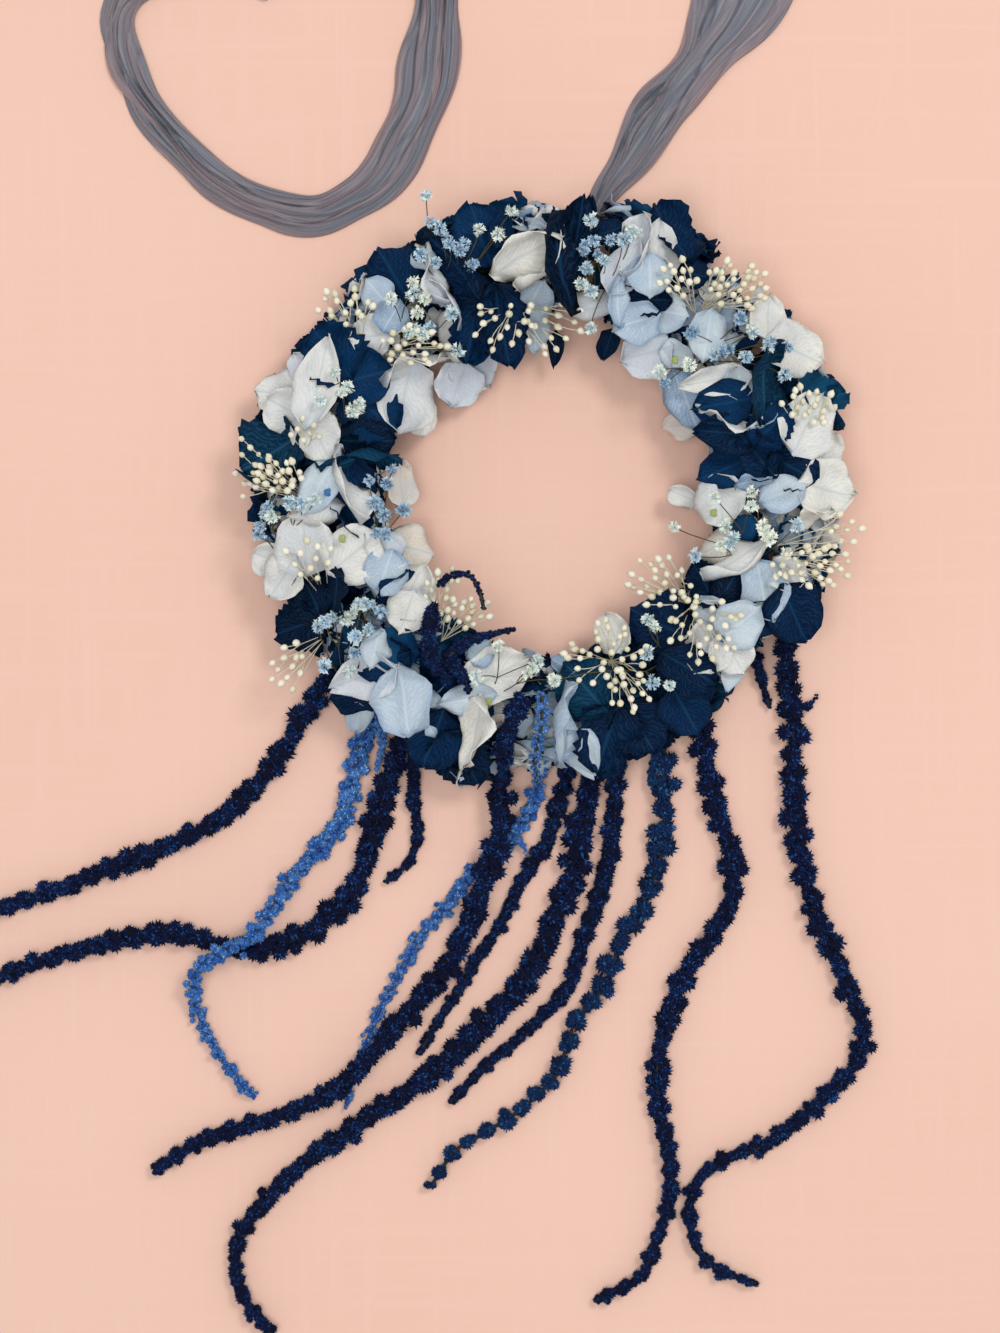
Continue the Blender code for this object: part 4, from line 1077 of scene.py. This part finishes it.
# Sprigs of baby's breath: where the stems come out and each floret's place in mm, with its tint
# from blue, 0, to green-white, 1.
BREATH_SPRIGS = {
    "breath_spray_back_left": ((-41, 74), [
        (-51, 117, 0.5), (-49, 105, 0.3), (-42, 98, 0.2), (-45, 102, 0.2), (-37, 92, 0.1),
        (-41, 95, 0.1), (-32, 87, 0.1), (-53, 91, 0.2), (-47, 88, 0.3), (-29, 102, 0.8),
        (-21, 99, 0.8), (-16, 109, 0.7), (-35, 95, 0.2)]),
    "breath_sprig_left_back": ((-62, 49), [
        (-56, 80, 0.95), (-65, 73, 0.8), (-56, 75, 0.6), (-51, 73, 0.9), (-54, 67, 0.95),
        (-49, 61, 0.3), (-40, 67, 0.4), (-58, 59, 0.7), (-52, 58, 0.6), (-38, 53, 0.6),
        (-54, 60, 0.4)]),
    "breath_sprig_left": ((-84, 21), [
        (-88, 43, 0.7), (-83, 37, 0.8), (-79, 28, 0.9), (-94, 31, 0.6), (-81, 27, 0.9),
        (-85, 35, 0.8), (-78, 30, 0.8)]),
    "breath_spray_back_right": ((21, 74), [
        (17, 105, 0.5), (14, 94, 0.1), (20, 91, 0.05), (25, 97, 0.2), (30, 97, 0.3), (15, 85, 0.3),
        (13, 79, 0.7), (17, 76, 0.5), (34, 101, 0.6), (22, 88, 0.3), (18, 96, 0.1), (14, 92, 0.1),
        (17, 62, 0.6)]),
    "breath_spray_right_back": ((62, 49), [
        (58, 59, 0), (78, 65, 0.1), (83, 61, 0.7), (73, 52, 0.05), (67, 50, 0.3), (80, 49, 0.3),
        (90, 55, 0.2), (98, 54, 0), (96, 42, 0.4), (47, 39, 0.05), (57, 46, 0.9), (45, 44, 0.8),
        (83, 59, 0.5), (70, 51, 0.1), (89, 53, 0.4)]),
    "breath_spray_left_inner": ((-70, -27), [
        (-65, 4, 0.1), (-74, -1, 0.2), (-67, -2, 0.05), (-72, -10, 0.1), (-68, -15, 0.1),
        (-60, -13, 0.05), (-71, -23, 0.05), (-67, -23, 0.2), (-70, -11, 0)]),
    "breath_sprig_left_mid": ((-111, -33), [
        (-107, -10, 0.3), (-103, -10, 0.4), (-96, -9, 0.6), (-120, -23, 0.1), (-116, -12, 0.1),
        (-114, -16, 0.7), (-119, -20, 0.2), (-117, -15, 0.2)]),
    "breath_spray_front_left": ((-86, -83), [
        (-95, -61, 0.3), (-89, -57, 0.4), (-81, -56, 0.8), (-76, -52, 0.3), (-69, -55, 0.1),
        (-79, -65, 0.3), (-80, -72, 0.1), (-93, -77, 0.3), (-83, -79, 0.7), (-84, -58, 0.7),
        (-73, -52, 0.3), (-74, -62, 0.3), (-78, -52, 0.5), (-92, -59, 0.3)]),
    "breath_spray_front": ((-25, -90), [
        (-21, -69, 0.9), (-30, -82, 0.7), (-5, -75, 0.6), (-9, -80, 0.95), (2, -83, 0.9),
        (-7, -78, 0.8)]),
    "breath_spray_right": ((87, -33), [
        (68, -8, 0.8), (83, -6, 0.9), (82, -12, 0.8), (51, -20, 0.9), (72, -20, 0.8),
        (75, -25, 0.5), (70, -28, 0.8), (87, -20, 0.95), (90, -25, 0.95), (101, -20, 0.4),
        (60, -32, 0.3), (97, -31, 0.95), (88, -23, 0.9), (74, -27, 0.5)]),
    "breath_sprig_front_right": ((50, -74), [
        (40, -58, 0.7), (40, -72, 0.4), (42, -84, 0.3), (49, -85, 0.6), (43, -61, 0.8),
        (2, -83, 0.8)]),
}


def ball_bud():
    """A round dry bud with a small point."""
    bm = bmesh.new()
    bmesh.ops.create_uvsphere(bm, u_segments=8, v_segments=6, radius=1.0)
    for vert in bm.verts:
        if vert.co.z > 0.95:
            vert.co.z = 1.3
    return shape(bm)


def breath_petal():
    """One tiny curled petal of a double floret, notched at its end, darker at its base and lighter at its
    tip: painted shade inside the floret and painted light on its outside.
    """
    bm = bmesh.new()
    shade = bm.verts.layers.float.new("shade")
    bmesh.ops.create_grid(bm, x_segments=2, y_segments=2, size=0.5)
    for vert in bm.verts:
        u, v = vert.co.x * 2, vert.co.y + 0.5
        vert[shade] = 0.5 * v - 0.3
        notch = 0.2 if u == 0 and v > 0.9 else 0.0
        vert.co = (u * (0.16 + 0.3 * v), v - notch, 0.3 * v * v + 0.1 * u * u)
    return shape(bm)


def bent_stem(start, end, sag, points=5):
    """A thin stem's line from start to end, bowed to one side."""
    side = Vector(CHANCE.uniform(-1, 1, 3)) * (end - start).length * sag
    return [start.lerp(end, i / (points - 1)) + side * math.sin(math.pi * i / (points - 1))
            for i in range(points)]


def spray_root(root):
    """Where a spray's stems come out, down among the petals."""
    height, _ = top_at(root[0] * MM, root[1] * MM)
    return Vector((root[0] * MM, root[1] * MM, height - ROOT_DEPTH))


def bud_sprays(bud, mats):
    """Every spray of ball buds: stems that branch twice, with a bud on each tip."""
    sprays = {}
    for name, root, middle, half, count, stand in BUD_FANS:
        lines, buds = sprays.setdefault(name, ([], []))
        start = spray_root(root)
        tips = []
        for k in range(count):
            angle = FULL_TURN * (k * 0.382) + CHANCE.uniform(-0.3, 0.3)
            far = math.sqrt((k + 0.6) / count)
            x = (middle[0] + half[0] * far * math.cos(angle)) * MM
            y = (middle[1] + half[1] * far * math.sin(angle)) * MM
            height, _ = top_at(x, y)
            rise = (stand + 5 + CHANCE.uniform(0, 7)) * MM
            tips.append(Vector((x, y, max(height, 18 * MM) + rise)))
        tips.sort(key=lambda tip: math.atan2(tip.y - start.y, tip.x - start.x))
        for k in range(0, count, 3):
            few = tips[k:k + 3]
            centre = sum(few, Vector()) / len(few)
            fork = start.lerp(centre, 0.62) + Vector((0, 0, 2 * MM))
            lines.append(bent_stem(start, fork, 0.05))
            for tip in few:
                lines.append(bent_stem(fork, tip, 0.07, 4))
                size = CHANCE.uniform(1.15, 1.6) * MM
                buds.append(place(tip, (tip - fork).orthogonal(), tip - fork, (size, size, size * 1.1)))
    for name, (lines, buds) in sprays.items():
        stems = stem_mesh(lines, 0.2 * MM)
        mesh = gather(name + "_buds", [(bud, buds, CHANCE.uniform(0.2, 1, len(buds)), 0),
                                       (stems, [Matrix()], [0.7], 1)], mats)
        add_piece(name + "_buds", mesh, "root", own_node(name))


FLORET_PETALS = 44


def breath_sprigs(floret, mats):
    """Every sprig of baby's breath: forking stems with a small double floret on each."""
    for name, (root, florets) in BREATH_SPRIGS.items():
        lines, places, tints = [], [], []
        start = spray_root(root)
        tips = []
        for x, y, tint in florets:
            height, _ = top_at(x * MM, y * MM)
            height = max(height, 22 * MM) + CHANCE.uniform(11, 18) * MM
            tips.append((Vector((x * MM, y * MM, height)), tint))
        tips.sort(key=lambda tip: math.atan2(tip[0].y - start.y, tip[0].x - start.x))
        for k in range(0, len(tips), 3):
            few = tips[k:k + 3]
            centre = sum((tip for tip, _ in few), Vector()) / len(few)
            fork = start.lerp(centre, 0.55)
            lines.append(bent_stem(start, fork, 0.05))
            for tip, tint in few:
                lines.append(bent_stem(fork, tip - Vector((0, 0, 2 * MM)), 0.08, 4))
                size = CHANCE.uniform(2.5, 3.3) * MM
                for j in range(FLORET_PETALS):
                    z = 1 - 1.75 * (j + 0.5) / FLORET_PETALS
                    flat = math.sqrt(1 - z * z)
                    out = Vector((flat * math.cos(FLORET_TURN * j), flat * math.sin(FLORET_TURN * j), z))
                    foot = tip + out * size * CHANCE.uniform(0.15, 0.6)
                    heading = out + Vector(CHANCE.uniform(-0.7, 0.7, 3))
                    long = size * CHANCE.uniform(0.45, 0.75)
                    places.append(place(foot, heading, Vector(CHANCE.uniform(-1, 1, 3)), (long,) * 3))
                    tints.append(tint + 0.1 + CHANCE.uniform(-0.2, 0.2))
        stems = stem_mesh(lines, 0.22 * MM)
        mesh = gather(name + "_florets", [(floret, places, tints, 0), (stems, [Matrix()], [0.6], 1)], mats)
        add_piece(name + "_florets", mesh, "root", own_node(name))


def floor():
    """The painted board that the crown lies on."""
    bm = bmesh.new()
    bmesh.ops.create_grid(bm, x_segments=1, y_segments=1, size=3.0)
    board = shape(bm)
    board.materials.append(floor_material())
    obj = bpy.data.objects.new("floor", board)
    bpy.context.collection.objects.link(obj)


def hoop_materials():
    """Crepe on the taped stems, with the turns of the tape, and paper on the wire."""
    for name, mat_name, low, high, turns in (
            ("stem_tape", "crepe_tape", srgb(0.20, 0.26, 0.14), srgb(0.33, 0.39, 0.22), 190.0),
            ("base_wire", "paper_wire", srgb(0.34, 0.38, 0.26), srgb(0.50, 0.54, 0.38), 420.0)):
        mat, tree, shader = finish_material(mat_name, 0.72, 0.3)
        here = node(tree, "TexCoord").outputs["Object"]
        parts = node(tree, "SeparateXYZ", {0: here}).outputs
        round_hoop = maths(tree, "MULTIPLY", maths(tree, "ARCTAN2", parts[1], parts[0]), turns)
        lap = maths(tree, "FRACT", maths(tree, "ADD", maths(tree, "MULTIPLY", round_hoop, 0.16),
                                         maths(tree, "MULTIPLY", parts[2], 90.0)))
        crepe = node(tree, "TexNoise", {"Vector": here, "Scale": 900.0, "Detail": 4.0}).outputs[0]
        height = maths(tree, "ADD", lap, maths(tree, "MULTIPLY", crepe, 0.5))
        tree.links.new(ramp(tree, maths(tree, "MULTIPLY", height, 0.7), [(0.1, low), (0.9, high)]),
                       shader.inputs["Base Color"])
        bump = node(tree, "Bump", {"Strength": 0.5, "Distance": 0.0005, "Height": height})
        tree.links.new(bump.outputs[0], shader.inputs["Normal"])
        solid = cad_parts[name]
        solid.data.materials.clear()
        solid.data.materials.append(mat)


def build():
    """The whole crown on its floor, with its camera and lights."""
    camera()
    studio()
    veins = vein_group()
    grain_group()
    mottle_group()
    navy = petal_material("petal_navy", veins, [
        (0.0, srgb(0.01, 0.05, 0.13)), (0.3, srgb(0.01, 0.12, 0.25)), (0.7, srgb(0.02, 0.20, 0.36)),
        (1.0, srgb(0.10, 0.34, 0.50))], srgb(0.10, 0.31, 0.47), 0.45, srgb(0.01, 0.05, 0.13), 0.4,
        0.7, 0.5, srgb(0.01, 0.06, 0.16), 0.08)
    teal = petal_material("petal_teal", veins, [
        (0.0, srgb(0.01, 0.12, 0.20)), (0.5, srgb(0.02, 0.22, 0.34)), (1.0, srgb(0.08, 0.34, 0.48))],
        srgb(0.18, 0.42, 0.55), 0.5, srgb(0.01, 0.07, 0.15), 0.4, 0.7, 0.4, srgb(0.02, 0.11, 0.22), 0.08)
    pale = petal_material("petal_pale_blue", veins, [
        (0.0, srgb(0.51, 0.62, 0.74)), (0.4, srgb(0.68, 0.75, 0.81)), (1.0, srgb(0.80, 0.84, 0.85))],
        srgb(0.86, 0.90, 0.92), 0.55, srgb(0.47, 0.59, 0.73), 0.4, 0.66, 0.4, srgb(0.52, 0.62, 0.75))
    white = petal_material("petal_white", veins, [
        (0.0, srgb(0.78, 0.81, 0.86)), (0.35, srgb(0.88, 0.88, 0.86)), (0.8, srgb(0.91, 0.90, 0.85)),
        (1.0, srgb(0.87, 0.81, 0.75))], srgb(0.70, 0.74, 0.76), 0.6, srgb(0.93, 0.92, 0.88), 0.3,
        0.68, 0.5, srgb(0.74, 0.78, 0.82))
    stem = speckled("stem_green_brown", 0.7, [(0.2, srgb(0.16, 0.15, 0.12)), (0.8, srgb(0.33, 0.31, 0.2))],
                    900.0, 0.3, 0.0003)
    blossoms = {
        "navy": velvet("amaranth_navy_velvet", [
            (0.0, srgb(0.005, 0.015, 0.06)), (0.35, srgb(0.012, 0.03, 0.145)), (0.6, srgb(0.02, 0.07, 0.26)),
            (1.0, srgb(0.10, 0.30, 0.56))]),
        "teal": velvet("amaranth_teal_velvet", [
            (0.0, srgb(0.015, 0.04, 0.13)), (0.4, srgb(0.03, 0.12, 0.28)), (0.7, srgb(0.06, 0.22, 0.42)),
            (1.0, srgb(0.16, 0.40, 0.60))]),
        "light_blue": velvet("amaranth_light_blue_velvet", [
            (0.0, srgb(0.10, 0.24, 0.52)), (0.35, srgb(0.17, 0.38, 0.70)), (0.7, srgb(0.34, 0.56, 0.82)),
            (1.0, srgb(0.62, 0.78, 0.92))]),
    }
    bits = (bract(), knot_core(), [bract_places(50) for _ in range(4)])
    amaranth(bits, stem, blossoms)
    silk = silk_material()
    ribbon_tail("ribbon_tail_left", 1, 0.6 * MM, silk)
    ribbon_tail("ribbon_tail_right", -1, 3.0 * MM, silk)
    ribbon_knot(silk)
    eye = speckled("flower_centres", 0.6, [(0.0, srgb(0.66, 0.72, 0.42)), (0.35, srgb(0.60, 0.66, 0.38)),
                                           (0.6, srgb(0.30, 0.48, 0.66)), (1.0, srgb(0.22, 0.40, 0.62))],
                   900.0, 0.3, 0.0003)
    hydrangea(petal_shapes(), {"navy": navy, "teal": teal, "pale": pale, "white": white, "eye": eye})
    cream = speckled("cream_buds", 0.75, [(0.1, srgb(0.83, 0.81, 0.68)), (0.5, srgb(0.92, 0.90, 0.80)),
                                          (1.0, srgb(0.96, 0.95, 0.88))], 800.0, 0.4, 0.0003)
    ivory = speckled("ivory_stems", 0.75, [(0.1, srgb(0.78, 0.75, 0.62)), (1.0, srgb(0.92, 0.90, 0.82))],
                     600.0, 0.3, 0.0002)
    bud_sprays(ball_bud(), [cream, ivory])
    breath = speckled("breath_petals", 0.8, [
        (0.0, srgb(0.42, 0.56, 0.68)), (0.3, srgb(0.68, 0.80, 0.89)), (0.6, srgb(0.84, 0.91, 0.91)),
        (1.0, srgb(0.96, 0.97, 0.91))], 900.0, 0.3, 0.0003)
    olive = speckled("olive_stems", 0.75, [(0.1, srgb(0.24, 0.22, 0.12)), (1.0, srgb(0.42, 0.38, 0.24))],
                     600.0, 0.3, 0.0002)
    breath_sprigs(breath_petal(), [breath, olive])
    tufts(bits, stem, blossoms)
    hoop_materials()
    floor()


build()
bpy.context.view_layer.update()
